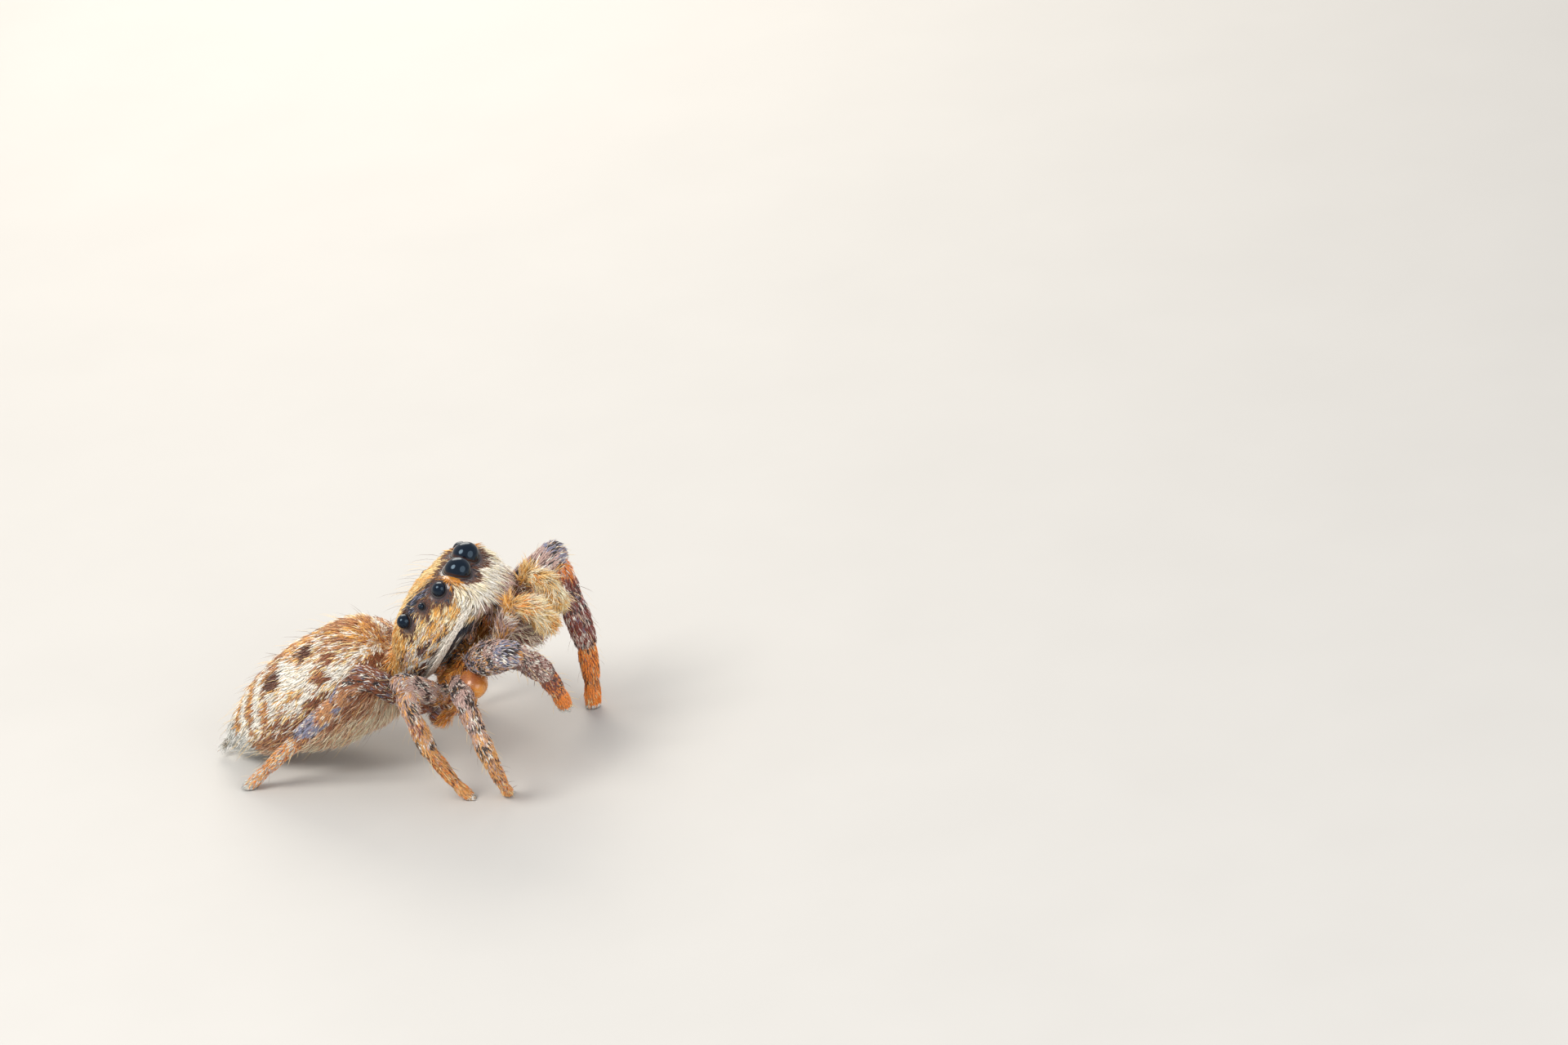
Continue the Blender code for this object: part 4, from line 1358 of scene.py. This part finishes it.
class SPIDER_OT_carapace_coat(bpy.types.Operator):
    """Grows the golden hair of the carapace and the pale hair of face and cheeks"""
    bl_idname = "spider.carapace_coat"
    bl_label = "Carapace coat"

    def execute(self, context):
        coat = context.scene.spider_coat
        seed = SEEDS["carapace"]
        grown = Surface().scatter(["carapace"], coat.head_spacing / MM, seed)
        for side, tufts in halves(grown, HEAD.origin[1], seed):
            local = HEAD.local(tufts.points)
            normal = HEAD.local_direction(tufts.normals)
            forward, out, level = local[:, 0], np.abs(local[:, 1]), local[:, 2]
            above = level - stripe_level(local)
            bare = hill(forward, 2.74, 0.12) * hill(out, 0.62, 0.10) * ramp(level, 1.0, 1.15)
            under = ramp(-normal[:, 2], 0.5, 0.8)
            density = 1 - 0.6 * dark_strand(local, 0.22) - 0.95 * bare
            density -= 0.35 * ramp(-above, 0.05, 0.1) + 0.6 * under
            tufts.thin(density)
            local = HEAD.local(tufts.points)
            normal = HEAD.local_direction(tufts.normals)
            face = ramp(normal[:, 0], 0.4, 0.8)
            cheek = ramp(local[:, 0], 2.1, 2.6) * ramp(np.abs(normal[:, 1]), 0.3, 0.7)
            rear = 1 - ramp(local[:, 0], 0.2, 0.6)
            top = ramp(normal[:, 2], 0.3, 0.8)
            tufts.shape(coat.head_length / MM * (1 + 0.45 * face + 0.25 * cheek + 0.2 * rear),
                        coat.head_width / MM, 15 + 10 * face + 6 * rear + 8 * top)
            tufts.paint()
            plant(f"carapace_hair_{side}", tufts, "carapace")
        return {"FINISHED"}


class SPIDER_OT_margin_stripe(bpy.types.Operator):
    """Lays the white stripe of flat scales along each side of the carapace"""
    bl_idname = "spider.margin_stripe"
    bl_label = "Margin stripe"

    def execute(self, context):
        coat = context.scene.spider_coat
        seed = SEEDS["stripe"]
        tufts = Tufts(*Surface().scatter(["carapace"], STRIPE_SPACING, seed), seed + 1)
        local = HEAD.local(tufts.points)
        above = local[:, 2] - stripe_level(local)
        on_side = (np.abs(local[:, 1]) > 0.3) & (local[:, 0] < 2.75)
        tufts.pick((np.abs(above) < STRIPE_HALF_WIDTH) & on_side)
        backward = HEAD.world_direction(np.array([-2.0, 0.0, -0.42]))
        tufts.lies = lay_flat(unit(tufts.lies + backward), tufts.normals)
        tufts.shape(coat.stripe_length / MM, coat.stripe_width / MM, 16)
        tufts.points = tufts.points + STRIPE_RISE * tufts.normals
        one_colour(tufts, context.scene.spider_palette.white, 0.08, 0.8, 1.1)
        plant("margin_stripe", tufts, "carapace")
        return {"FINISHED"}


class SPIDER_OT_leg_coat(bpy.types.Operator):
    """Grows the mottled scales of the legs, sparser on the clear last joints"""
    bl_idname = "spider.leg_coat"
    bl_label = "Leg coat"

    def execute(self, context):
        coat = context.scene.spider_coat
        surface = Surface()
        for number in LEG_NUMBERS:
            for side in SIDES:
                names = [f"leg_{number}_{side}_{part}" for part in LEG_PARTS]
                seed = SEEDS["legs"] + 10 * number + SIDES.index(side)
                tufts = Tufts(*surface.scatter(names, coat.leg_spacing / MM, seed), seed + 100)
                part = np.array([names.index(FLESH[index]) for index in tufts.nodes])
                along, around = tufts.unwrap[:, 1], np.abs(tufts.unwrap[:, 0] - 0.5) * 2
                below = ramp(around, 0.55, 0.8)
                clear = 0.8 * (number == 2) * below * (1 - ramp(along, 0.4, 0.6))
                on_thigh = (1 - 0.2 * below) * (1 - clear)
                on_foot = 1.0 - 0.25 * ramp(along, 0.5, 0.62)
                tufts.thin(np.choose(part, [on_thigh, np.ones(len(tufts)), on_foot]))
                part = np.array([names.index(FLESH[index]) for index in tufts.nodes])
                factor = np.choose(part, [1.1, 1.0, 0.85])
                around = np.abs(tufts.unwrap[:, 0] - 0.5) * 2
                crest = (number == 1) * (part == 0) * (1 - ramp(around, 0.3, 0.55))
                crest = crest * ramp(tufts.unwrap[:, 1], 0.05, 0.2) * (1 - ramp(tufts.unwrap[:, 1], 0.4, 0.8))
                tufts.shape(coat.leg_length / MM * factor * (1 + 0.8 * crest),
                            coat.leg_width / MM * factor, 8 + 5 * (part == 2) + 6 * crest)
                tufts.paint()
                plant(f"leg_{number}_{side}_scales", tufts, "leg", names)
        return {"FINISHED"}


class SPIDER_OT_palp_coat(bpy.types.Operator):
    """Grows the long golden hair of the palps"""
    bl_idname = "spider.palp_coat"
    bl_label = "Palp coat"

    def execute(self, context):
        coat = context.scene.spider_coat
        surface = Surface()
        for side in SIDES:
            names = [f"palp_{side}_{part}" for part in PALP_PARTS]
            seed = SEEDS["palps"] + SIDES.index(side)
            tufts = Tufts(*surface.scatter(names, coat.palp_spacing / MM, seed), seed + 10)
            tufts.turn_lies(1.1 * (lattice_noise(tufts.points, 0.22, 63) - 0.5))
            tufts.sweep = tufts.vary(0.0, 0.30)
            tip = (tufts.nodes == FLESH.index(names[1])) * ramp(tufts.unwrap[:, 1], 0.50, 0.90)
            tufts.shape(coat.palp_length / MM * (1 - 0.4 * tip), coat.palp_width / MM, 27)
            tufts.paint()
            plant(f"palp_{side}_hair", tufts, "palp", names)
        return {"FINISHED"}


class SPIDER_OT_under_coat(bpy.types.Operator):
    """Grows the thin hair of sternum, coxae, jaws, waist and spinnerets"""
    bl_idname = "spider.under_coat"
    bl_label = "Underside coat"

    def execute(self, context):
        coat = context.scene.spider_coat
        surface = Surface()
        self.tail(coat, surface)
        self.underside(coat, surface)
        self.jaws(coat, surface)
        return {"FINISHED"}

    def grow(self, surface, piece, names, spacing):
        return Tufts(*surface.scatter(names, spacing, SEEDS[piece]), SEEDS[piece] + 1)

    def tail(self, coat, surface):
        """A brush on the spinnerets, of which all hairs point the same way: back and a little down."""
        tufts = self.grow(surface, "tail", ["spinnerets"], TAIL_SPACING)
        backward = unit(-REAR.axes[0] + TAIL_DROOP)
        facing = tufts.normals @ backward
        tufts.lies = unit(backward - facing[:, None] * tufts.normals)
        tufts.pick(facing > -0.5)
        facing = tufts.normals @ backward
        tufts.flow[:] = 1.0
        tufts.bend[:] = 0.25
        tufts.shape(coat.under_length / MM, coat.head_width / MM,
                    np.degrees(np.arcsin(np.clip(facing, 0.25, 0.99))))
        tufts.paint()
        plant("tail_tuft", tufts, "abdomen")

    def underside(self, coat, surface):
        names = ["sternum_and_coxae", "pedicel"]
        tufts = self.grow(surface, "underside", names, UNDER_SPACING)
        front = ramp(HEAD.local(tufts.points)[:, 0], 1.2, 1.6) * (tufts.nodes == FLESH.index(names[0]))
        tufts.shape(coat.under_length / MM * (1 + 0.5 * front), (0.7 + 0.3 * front) * coat.head_width / MM,
                    24 + 4 * front)
        tufts.paint()
        plant("underside_hair", tufts, "underside", names)

    def jaws(self, coat, surface):
        names = ["chelicera_left", "chelicera_right"]
        tufts = self.grow(surface, "jaws", names, JAW_SPACING)
        tufts.turn_lies(1.4 * (lattice_noise(tufts.points, 0.2, 83) - 0.5))
        tufts.sweep = tufts.vary(0.0, 0.3)
        tufts.shape(1.5 * coat.under_length / MM, coat.head_width / MM, 34)
        tufts.paint()
        plant("jaw_hair", tufts, "jaw", names)


class SPIDER_OT_foot_tufts(bpy.types.Operator):
    """Grows the soft pale tuft under the claws of each foot"""
    bl_idname = "spider.foot_tufts"
    bl_label = "Foot tufts"

    def execute(self, context):
        names = [f"leg_{number}_{side}_tarsus" for number in LEG_NUMBERS for side in SIDES]
        seed = SEEDS["feet"]
        tufts = Tufts(*Surface().scatter(names, FOOT_SPACING, seed), seed + 1)
        tufts.pick(tufts.unwrap[:, 1] > 0.86)
        tufts.shape(FOOT_LENGTH, FOOT_WIDTH, 26)
        tufts.paint()
        one_colour(tufts, context.scene.spider_palette.ash, 0.1, 0.6, 1.2)
        plant("foot_tufts", tufts, "foot", names, 2)
        return {"FINISHED"}


class SPIDER_OT_bristles(bpy.types.Operator):
    """Sets the long fine bristles that stand out of the coat"""
    bl_idname = "spider.bristles"
    bl_label = "Bristles"

    def execute(self, context):
        coat = context.scene.spider_coat
        surface = Surface()
        # Name, nodes, spacing, share of the bristles' length, lift in degrees, and slot
        groups = (
            ("head_bristles", ["carapace"], 0.30, 1.0, 55, "carapace"),
            ("abdomen_bristles", ["abdomen"], 0.28, 0.80, 40, "abdomen"),
            ("leg_bristles", [name for name in FLESH if name.startswith("leg_")], 0.26, 0.50, 46, "leg"),
            ("palp_bristles", [name for name in FLESH if name.startswith("palp_")], 0.20, 0.50, 50, "palp"),
        )
        for place, (name, names, spacing, factor, lift, slot) in enumerate(groups):
            seed = SEEDS["bristles"] + place
            tufts = Tufts(*surface.scatter(names, spacing, seed), seed + 10, BRISTLE_MARGIN)
            if slot == "carapace":
                tufts.pick(HEAD.local_direction(tufts.normals)[:, 2] > 0.35)
            tufts.shape(coat.bristle_length / MM * factor, coat.bristle_width / MM, lift)
            tufts.bend[:] = 0.7
            shade = np.where(tufts.random.random(len(tufts)) < 0.3, 0.0, 1.0)[:, None]
            palette = context.scene.spider_palette
            tufts.colour = np.array(palette.umber) * (1 - shade) + np.array(palette.pale_gold) * shade
            plant(name, tufts, slot, names)
        return {"FINISHED"}


# Eyes and claws

# Which way each kind of eye faces: forward, outward and up from the head
EYE_AIMS = {
    "anterior_median": (1.0, 0.08, 0.10),
    "anterior_lateral": (0.75, 0.60, 0.25),
    "posterior_median": (0.10, 0.85, 0.50),
    "posterior_lateral": (-0.10, 0.85, 0.50),
}
# The line where a lens dips under the skin is looked for at these turns round the eye, each time from the
# first angle off its aim to the second
EDGE_STEPS = 48
EDGE_TURNS = np.arange(EDGE_STEPS + 1) * FULL_TURN / EDGE_STEPS
EDGE_FROM = 0.4
EDGE_TO = 2.2
EDGE_LEAN = 0.05
SKIN_ABOVE = 0.3
EDGE_ROUNDS = 4
# The cornea: shares of the radius within which the front is drawn out, and by how much each time
CORNEA_REACHES = (1.1, 0.95, 0.8, 0.65, 0.5, 0.35)
CORNEA_STEP = 0.014
RIM_THICKNESS = 0.012
RIM_SHARE = 0.05


def eye_aim(node):
    """The way an eye faces, and two directions across it."""
    kind, side = node[4:].rsplit("_", 1)
    forward, out, up = EYE_AIMS[kind]
    aim = unit(HEAD.world_direction(np.array([forward, out if side == "left" else -out, up])))
    across = unit(np.cross(aim, HEAD.axes[2]))
    return aim, across, np.cross(aim, across)


def eye_edge(centre, radius, aim, tree):
    """The angle from the way an eye faces at which it dips under the skin, all the way round."""
    edge = np.full(EDGE_STEPS, EDGE_TO)
    for index, turn in enumerate(EDGE_TURNS[:-1]):
        across = math.cos(turn) * aim[1] + math.sin(turn) * aim[2]
        for lean in np.arange(EDGE_FROM, EDGE_TO, EDGE_LEAN):
            direction = math.cos(lean) * aim[0] + math.sin(lean) * across
            if tree.ray_cast(centre + radius * direction, direction, SKIN_ABOVE)[0]:
                edge[index] = lean
                break
    for _ in range(EDGE_ROUNDS):
        edge = (np.roll(edge, 1) + 2 * edge + np.roll(edge, -1)) / 4
    return edge


def edge_at(turn, edge):
    """The edge's angle at any turn round the eye."""
    return np.interp(turn, EDGE_TURNS, np.append(edge, edge[0]))


def skin_tree():
    """The skin in millimetres, for finding it along a ray."""
    mesh = bpy.data.objects[SKIN].data
    points = (read_vectors(mesh.vertices, "co") / MM).tolist()
    return BVHTree.FromPolygons(points, [list(polygon.vertices) for polygon in mesh.polygons])


class SPIDER_OT_eyes(bpy.types.Operator):
    """Makes the eight lenses, each with a bulging cornea, and the dark rims they sit in"""
    bl_idname = "spider.eyes"
    bl_label = "Eyes"

    def execute(self, context):
        tree = skin_tree()
        for node, (centre, radius) in EYES.items():
            aim = eye_aim(node)
            edge = eye_edge(centre, radius, aim, tree)
            self.lens(node, centre, radius, aim, edge)
            self.rim(node, centre, radius, aim, edge)
        return {"FINISHED"}

    def lens(self, node, centre, radius, aim, edge):
        """A ball with its front drawn out a little. It keeps how near each point is to the edge."""
        lens = add_ball(centre, radius, 48, 32)
        lens.name = lens.data.name = node.replace("eye_", "lens_")
        bpy.ops.object.mode_set(mode="EDIT")
        builder = bmesh.from_edit_mesh(lens.data)
        front = Vector(centre + radius * aim[0]) * MM
        for reach in CORNEA_REACHES:
            for vertex in builder.verts:
                vertex.select = (vertex.co - front).length < reach * radius * MM
            bmesh.update_edit_mesh(lens.data)
            bpy.ops.transform.translate(value=Vector(aim[0]) * CORNEA_STEP * radius * MM)
        bpy.ops.object.mode_set(mode="OBJECT")
        bpy.ops.object.shade_smooth()
        ease = lens.modifiers.new("ease", "SMOOTH")
        ease.iterations = 3
        bpy.ops.object.modifier_apply(modifier="ease")
        points = read_vectors(lens.data.vertices, "co") / MM
        away = unit(points - centre)
        limit = edge_at(np.arctan2(away @ aim[2], away @ aim[1]) % FULL_TURN, edge)
        near = np.clip(np.arccos(np.clip(away @ aim[0], -1, 1)) / limit, 0, 1)
        rim = lens.data.attributes.new(RIM, "FLOAT", "POINT")
        rim.data.foreach_set("value", near.astype(np.float32))
        settle(lens, lens_material(), "eye", node)

    def rim(self, node, centre, radius, aim, edge):
        """A ring that follows the line where the lens dips under the skin: a torus of radius 1 that is a
        tenth thick, bent and scaled to it."""
        deselect()
        bpy.ops.mesh.primitive_torus_add(major_radius=1.0, minor_radius=0.1, major_segments=EDGE_STEPS,
                                         minor_segments=12)
        rim = bpy.context.object
        rim.name = rim.data.name = node.replace("eye_", "rim_")
        thick = RIM_THICKNESS + RIM_SHARE * radius
        points = read_vectors(rim.data.vertices, "co")
        turn = np.arctan2(points[:, 1], points[:, 0]) % FULL_TURN
        outward = (np.hypot(points[:, 0], points[:, 1]) - 1) * 10 * thick
        lean = edge_at(turn, edge) - points[:, 2] * 10 * thick / radius
        across = np.cos(turn)[:, None] * aim[1] + np.sin(turn)[:, None] * aim[2]
        direction = np.cos(lean)[:, None] * aim[0] + np.sin(lean)[:, None] * across
        write_points(rim.data, centre + (radius + 0.3 * thick + outward)[:, None] * direction)
        face_outwards()
        settle(rim, horn_material("eye_rim", (30, 24, 24), 0.45), "carapace")


# A claw's radius, the length and turn of each step along its hook, what each step narrows it by, and the
# lowest that it starts
CLAW_RADIUS = 0.010
CLAW_STEP = 0.028
CLAW_TURN = 0.35
CLAW_NARROWING = (0.85, 0.8, 0.65, 0.2)
CLAW_START = 0.105


class SPIDER_OT_claws(bpy.types.Operator):
    """Makes the pair of small hooked claws on each foot"""
    bl_idname = "spider.claws"
    bl_label = "Claws"

    def execute(self, context):
        made = []
        for number in LEG_NUMBERS:
            for side in SIDES:
                guide = GUIDES[f"leg_{number}_{side}_tarsus"]
                aim = unit((guide.line[-1] - guide.line[-2]) * (1.0, 1.0, 0.35))
                across = unit(np.cross(aim, (0.3, 0.2, 1.0)))
                above = np.cross(across, aim)
                above = above * np.sign(above[2]) if abs(above[2]) > 0.2 else above
                for sign in (1, -1):
                    made.append(self.claw(guide.tip, aim, sign * across, above))
        activate(*made)
        bpy.ops.object.join()
        claws = bpy.context.object
        claws.name = claws.data.name = "claws"
        settle(claws, horn_material("claw", (34, 22, 16), 0.25), "foot")
        return {"FINISHED"}

    def claw(self, tip, aim, across, above):
        """A cone drawn out along a hook, ring by ring."""
        start = tip - 0.05 * aim + 0.035 * across + 0.03 * above
        start[2] = max(start[2], CLAW_START)
        deselect()
        bpy.ops.mesh.primitive_circle_add(vertices=8, radius=CLAW_RADIUS * MM, fill_type="NGON",
                                          location=Vector(start) * MM,
                                          rotation=Vector(aim).to_track_quat("Z", "Y").to_euler())
        claw = bpy.context.object
        bpy.ops.object.transform_apply()
        bpy.ops.object.mode_set(mode="EDIT")
        bpy.ops.mesh.select_all(action="SELECT")
        for step, narrow in enumerate(CLAW_NARROWING):
            move = CLAW_STEP * (aim * math.cos(CLAW_TURN * step) - above * math.sin(CLAW_TURN * step))
            bpy.ops.mesh.extrude_region_move(TRANSFORM_OT_translate={"value": Vector(move) * MM})
            start = start + move
            bpy.ops.transform.resize(value=(narrow,) * 3, center_override=Vector(start) * MM)
        face_outwards()
        return claw


# The amber swelling: its place along the thigh, how far it sits forwards, inwards and up from there, its
# half sizes, and how far its points are moved in and out
SWELLING_PLACE = 0.36
SWELLING_SHIFT = np.array((0.26, 0.03, 0.10))
SWELLING_SIZE = (0.29, 0.29, 0.40)
SWELLING_UNEVENNESS = 0.02


class SPIDER_OT_thighs(bpy.types.Operator):
    """Makes the clear amber swelling at the base of each second leg"""
    bl_idname = "spider.thighs"
    bl_label = "Amber thighs"

    def execute(self, context):
        palette = context.scene.spider_palette
        for side in SIDES:
            guide = GUIDES[f"leg_2_{side}_femur"]
            aim = unit(guide.tip - guide.root)
            centre = guide.root + SWELLING_PLACE * (guide.tip - guide.root)
            centre = centre + SWELLING_SHIFT * (1, -1 if side == "left" else 1, 1)
            thigh = add_ball(centre, 1.0, 48, 32, rotation=Vector(aim).to_track_quat("Z", "Y").to_euler(),
                             scale=SWELLING_SIZE)
            thigh.name = thigh.data.name = f"amber_thigh_{side}"
            points = read_vectors(thigh.data.vertices, "co") / MM
            normals = read_vectors(thigh.data.vertices, "normal")
            shift = SWELLING_UNEVENNESS * (lattice_noise(points, 0.25, 95) - 0.5)
            write_points(thigh.data, points + normals * shift[:, None])
            # Painted shade: the top of the swelling is darker, mixed with random clouds of chestnut
            above = ramp((points - centre) @ (-0.35, 0.0, 0.94), -0.15, 0.26)
            clouds = ramp(lattice_noise(points, 0.18, 96), 0.35, 0.7)
            painted_shade_and_clouds = np.clip(0.4 * clouds + 0.65 * above, 0, 1)[:, None]
            write_colour(thigh.data, np.array(palette.amber) * (1 - painted_shade_and_clouds) + np.array(palette.chestnut) * painted_shade_and_clouds)
            bpy.ops.object.shade_smooth()
            settle(thigh, cuticle_material(), "leg")
        return {"FINISHED"}


# Studio

# Where the spider stands in the picture: a point on its waist, and how far right of and above the
# middle of the picture that point shows
SPIDER_MIDDLE = Vector((0.3, -0.2, 1.2))
SPIDER_OFFSET = (-7.52, -3.55)
SENSOR_WIDTH = 36.0
# The point that the lights face, and each light's name, direction from there, distance, width, strength
# and colour
LIT_POINT = Vector((0.0, 0.0, 2.0))
LIGHTS = (
    ("key", (-0.45, -0.45, 0.85), 60, 32, 0.74, (1.0, 0.96, 0.90)),
    ("fill", (0.85, -0.50, 0.40), 70, 60, 0.46, (1.0, 0.98, 0.95)),
    ("back", (-0.25, 0.90, 0.60), 60, 40, 0.55, (1.0, 0.92, 0.80)),
)
SKY_COLOUR = (0.92, 0.94, 0.98, 1.0)
SKY_STRENGTH = 0.70


def softbox(name, direction, distance, width, strength, colour):
    """A round soft light. Strength is its share of a full exposure on a white card."""
    lamp = bpy.data.lights.new(name, "AREA")
    lamp.shape = "DISK"
    lamp.size = width * MM
    lamp.energy = strength * (math.pi * distance * MM) ** 2
    lamp.color = colour
    item = new_object(name, lamp)
    away = Vector(direction).normalized()
    item.location = (LIT_POINT + away * distance) * MM
    item.rotation_euler = away.to_track_quat("Z", "Y").to_euler()


class SPIDER_OT_studio(bpy.types.Operator):
    """Lays the pale floor and sets the soft lights and the camera"""
    bl_idname = "spider.studio"
    bl_label = "Studio"

    def execute(self, context):
        studio = context.scene.spider_studio
        azimuth, elevation = math.radians(studio.camera_azimuth), math.radians(studio.camera_elevation)
        right = Vector((math.cos(azimuth), math.sin(azimuth), 0))
        back = Vector((math.sin(azimuth) * math.cos(elevation), -math.cos(azimuth) * math.cos(elevation),
                       math.sin(elevation)))
        up = back.cross(right)
        self.camera(studio, right, up, back)
        self.floor(studio)
        for light in LIGHTS:
            softbox(*light)
        world = bpy.data.worlds.new("studio")
        world.use_nodes = True
        sky = world.node_tree.nodes["Background"]
        sky.inputs["Color"].default_value = SKY_COLOUR
        sky.inputs["Strength"].default_value = SKY_STRENGTH
        context.scene.world = world
        context.scene.view_settings.view_transform = "Standard"
        return {"FINISHED"}

    def camera(self, studio, right, up, back):
        """The middle of the picture lies to the right of the spider and above it, as in the photo."""
        roll = math.radians(studio.camera_roll)
        view_right = right * math.cos(roll) - up * math.sin(roll)
        view_up = right * math.sin(roll) + up * math.cos(roll)
        anchor = SPIDER_MIDDLE - view_right * SPIDER_OFFSET[0] - view_up * SPIDER_OFFSET[1]
        data = bpy.data.cameras.new("camera")
        data.lens = studio.lens
        data.sensor_width = SENSOR_WIDTH
        distance = studio.lens * studio.frame_width / data.sensor_width
        data.clip_start, data.clip_end = 0.001, 5.0
        camera = new_object("camera", data)
        camera.matrix_world = Matrix((view_right, view_up, back)).transposed().to_4x4()
        camera.location = anchor * MM + back * distance
        bpy.context.scene.camera = camera

    def floor(self, studio):
        deselect()
        bpy.ops.mesh.primitive_grid_add(x_subdivisions=8, y_subdivisions=8, size=2.0)
        floor = bpy.context.object
        floor.name = floor.data.name = "floor"
        material, nodes, links, shader = fresh_material("floor")
        tone = group_node(nodes, tone_group(), Grains_per_metre=300.0, Depth=0.03,
                          Colour=(*studio.floor, 1.0))
        links.new(tone.outputs["Colour"], shader.inputs["Base Color"])
        shader.inputs["Roughness"].default_value = 0.75
        floor.data.materials.append(material)
        deselect()


# Panel and registration

# The pieces in the order they are made
OPERATORS = (
    SPIDER_OT_skin,
    SPIDER_OT_eyes,
    SPIDER_OT_claws,
    SPIDER_OT_thighs,
    SPIDER_OT_abdomen_coat,
    SPIDER_OT_carapace_coat,
    SPIDER_OT_margin_stripe,
    SPIDER_OT_leg_coat,
    SPIDER_OT_palp_coat,
    SPIDER_OT_under_coat,
    SPIDER_OT_foot_tufts,
    SPIDER_OT_bristles,
    SPIDER_OT_studio,
)
SETTINGS = {
    "spider_palette": SpiderPalette,
    "spider_skin": SpiderSkin,
    "spider_coat": SpiderCoat,
    "spider_studio": SpiderStudio,
}


class SPIDER_PT_panel(bpy.types.Panel):
    """Lists the settings and the pieces in the order they are made"""
    bl_idname = "SPIDER_PT_panel"
    bl_label = "Jumping spider"
    bl_space_type = "VIEW_3D"
    bl_region_type = "UI"
    bl_category = "Spider"

    def draw(self, context):
        layout = self.layout
        for name, group in SETTINGS.items():
            box = layout.box()
            for key in group.__annotations__:
                box.prop(getattr(context.scene, name), key)
        for operator in OPERATORS:
            layout.operator(operator.bl_idname)


def register():
    for group in SETTINGS.values():
        bpy.utils.register_class(group)
    for operator in OPERATORS:
        bpy.utils.register_class(operator)
    bpy.utils.register_class(SPIDER_PT_panel)
    for name, group in SETTINGS.items():
        setattr(bpy.types.Scene, name, bpy.props.PointerProperty(type=group))


def unregister():
    for name in SETTINGS:
        delattr(bpy.types.Scene, name)
    bpy.utils.unregister_class(SPIDER_PT_panel)
    for operator in reversed(OPERATORS):
        bpy.utils.unregister_class(operator)
    for group in reversed(SETTINGS.values()):
        bpy.utils.unregister_class(group)


def main():
    register()
    bpy.ops.spider.skin()
    bpy.ops.spider.eyes()
    bpy.ops.spider.claws()
    bpy.ops.spider.thighs()
    bpy.ops.spider.abdomen_coat()
    bpy.ops.spider.carapace_coat()
    bpy.ops.spider.margin_stripe()
    bpy.ops.spider.leg_coat()
    bpy.ops.spider.palp_coat()
    bpy.ops.spider.under_coat()
    bpy.ops.spider.foot_tufts()
    bpy.ops.spider.bristles()
    bpy.ops.spider.studio()


if __name__ == "__main__":
    main()
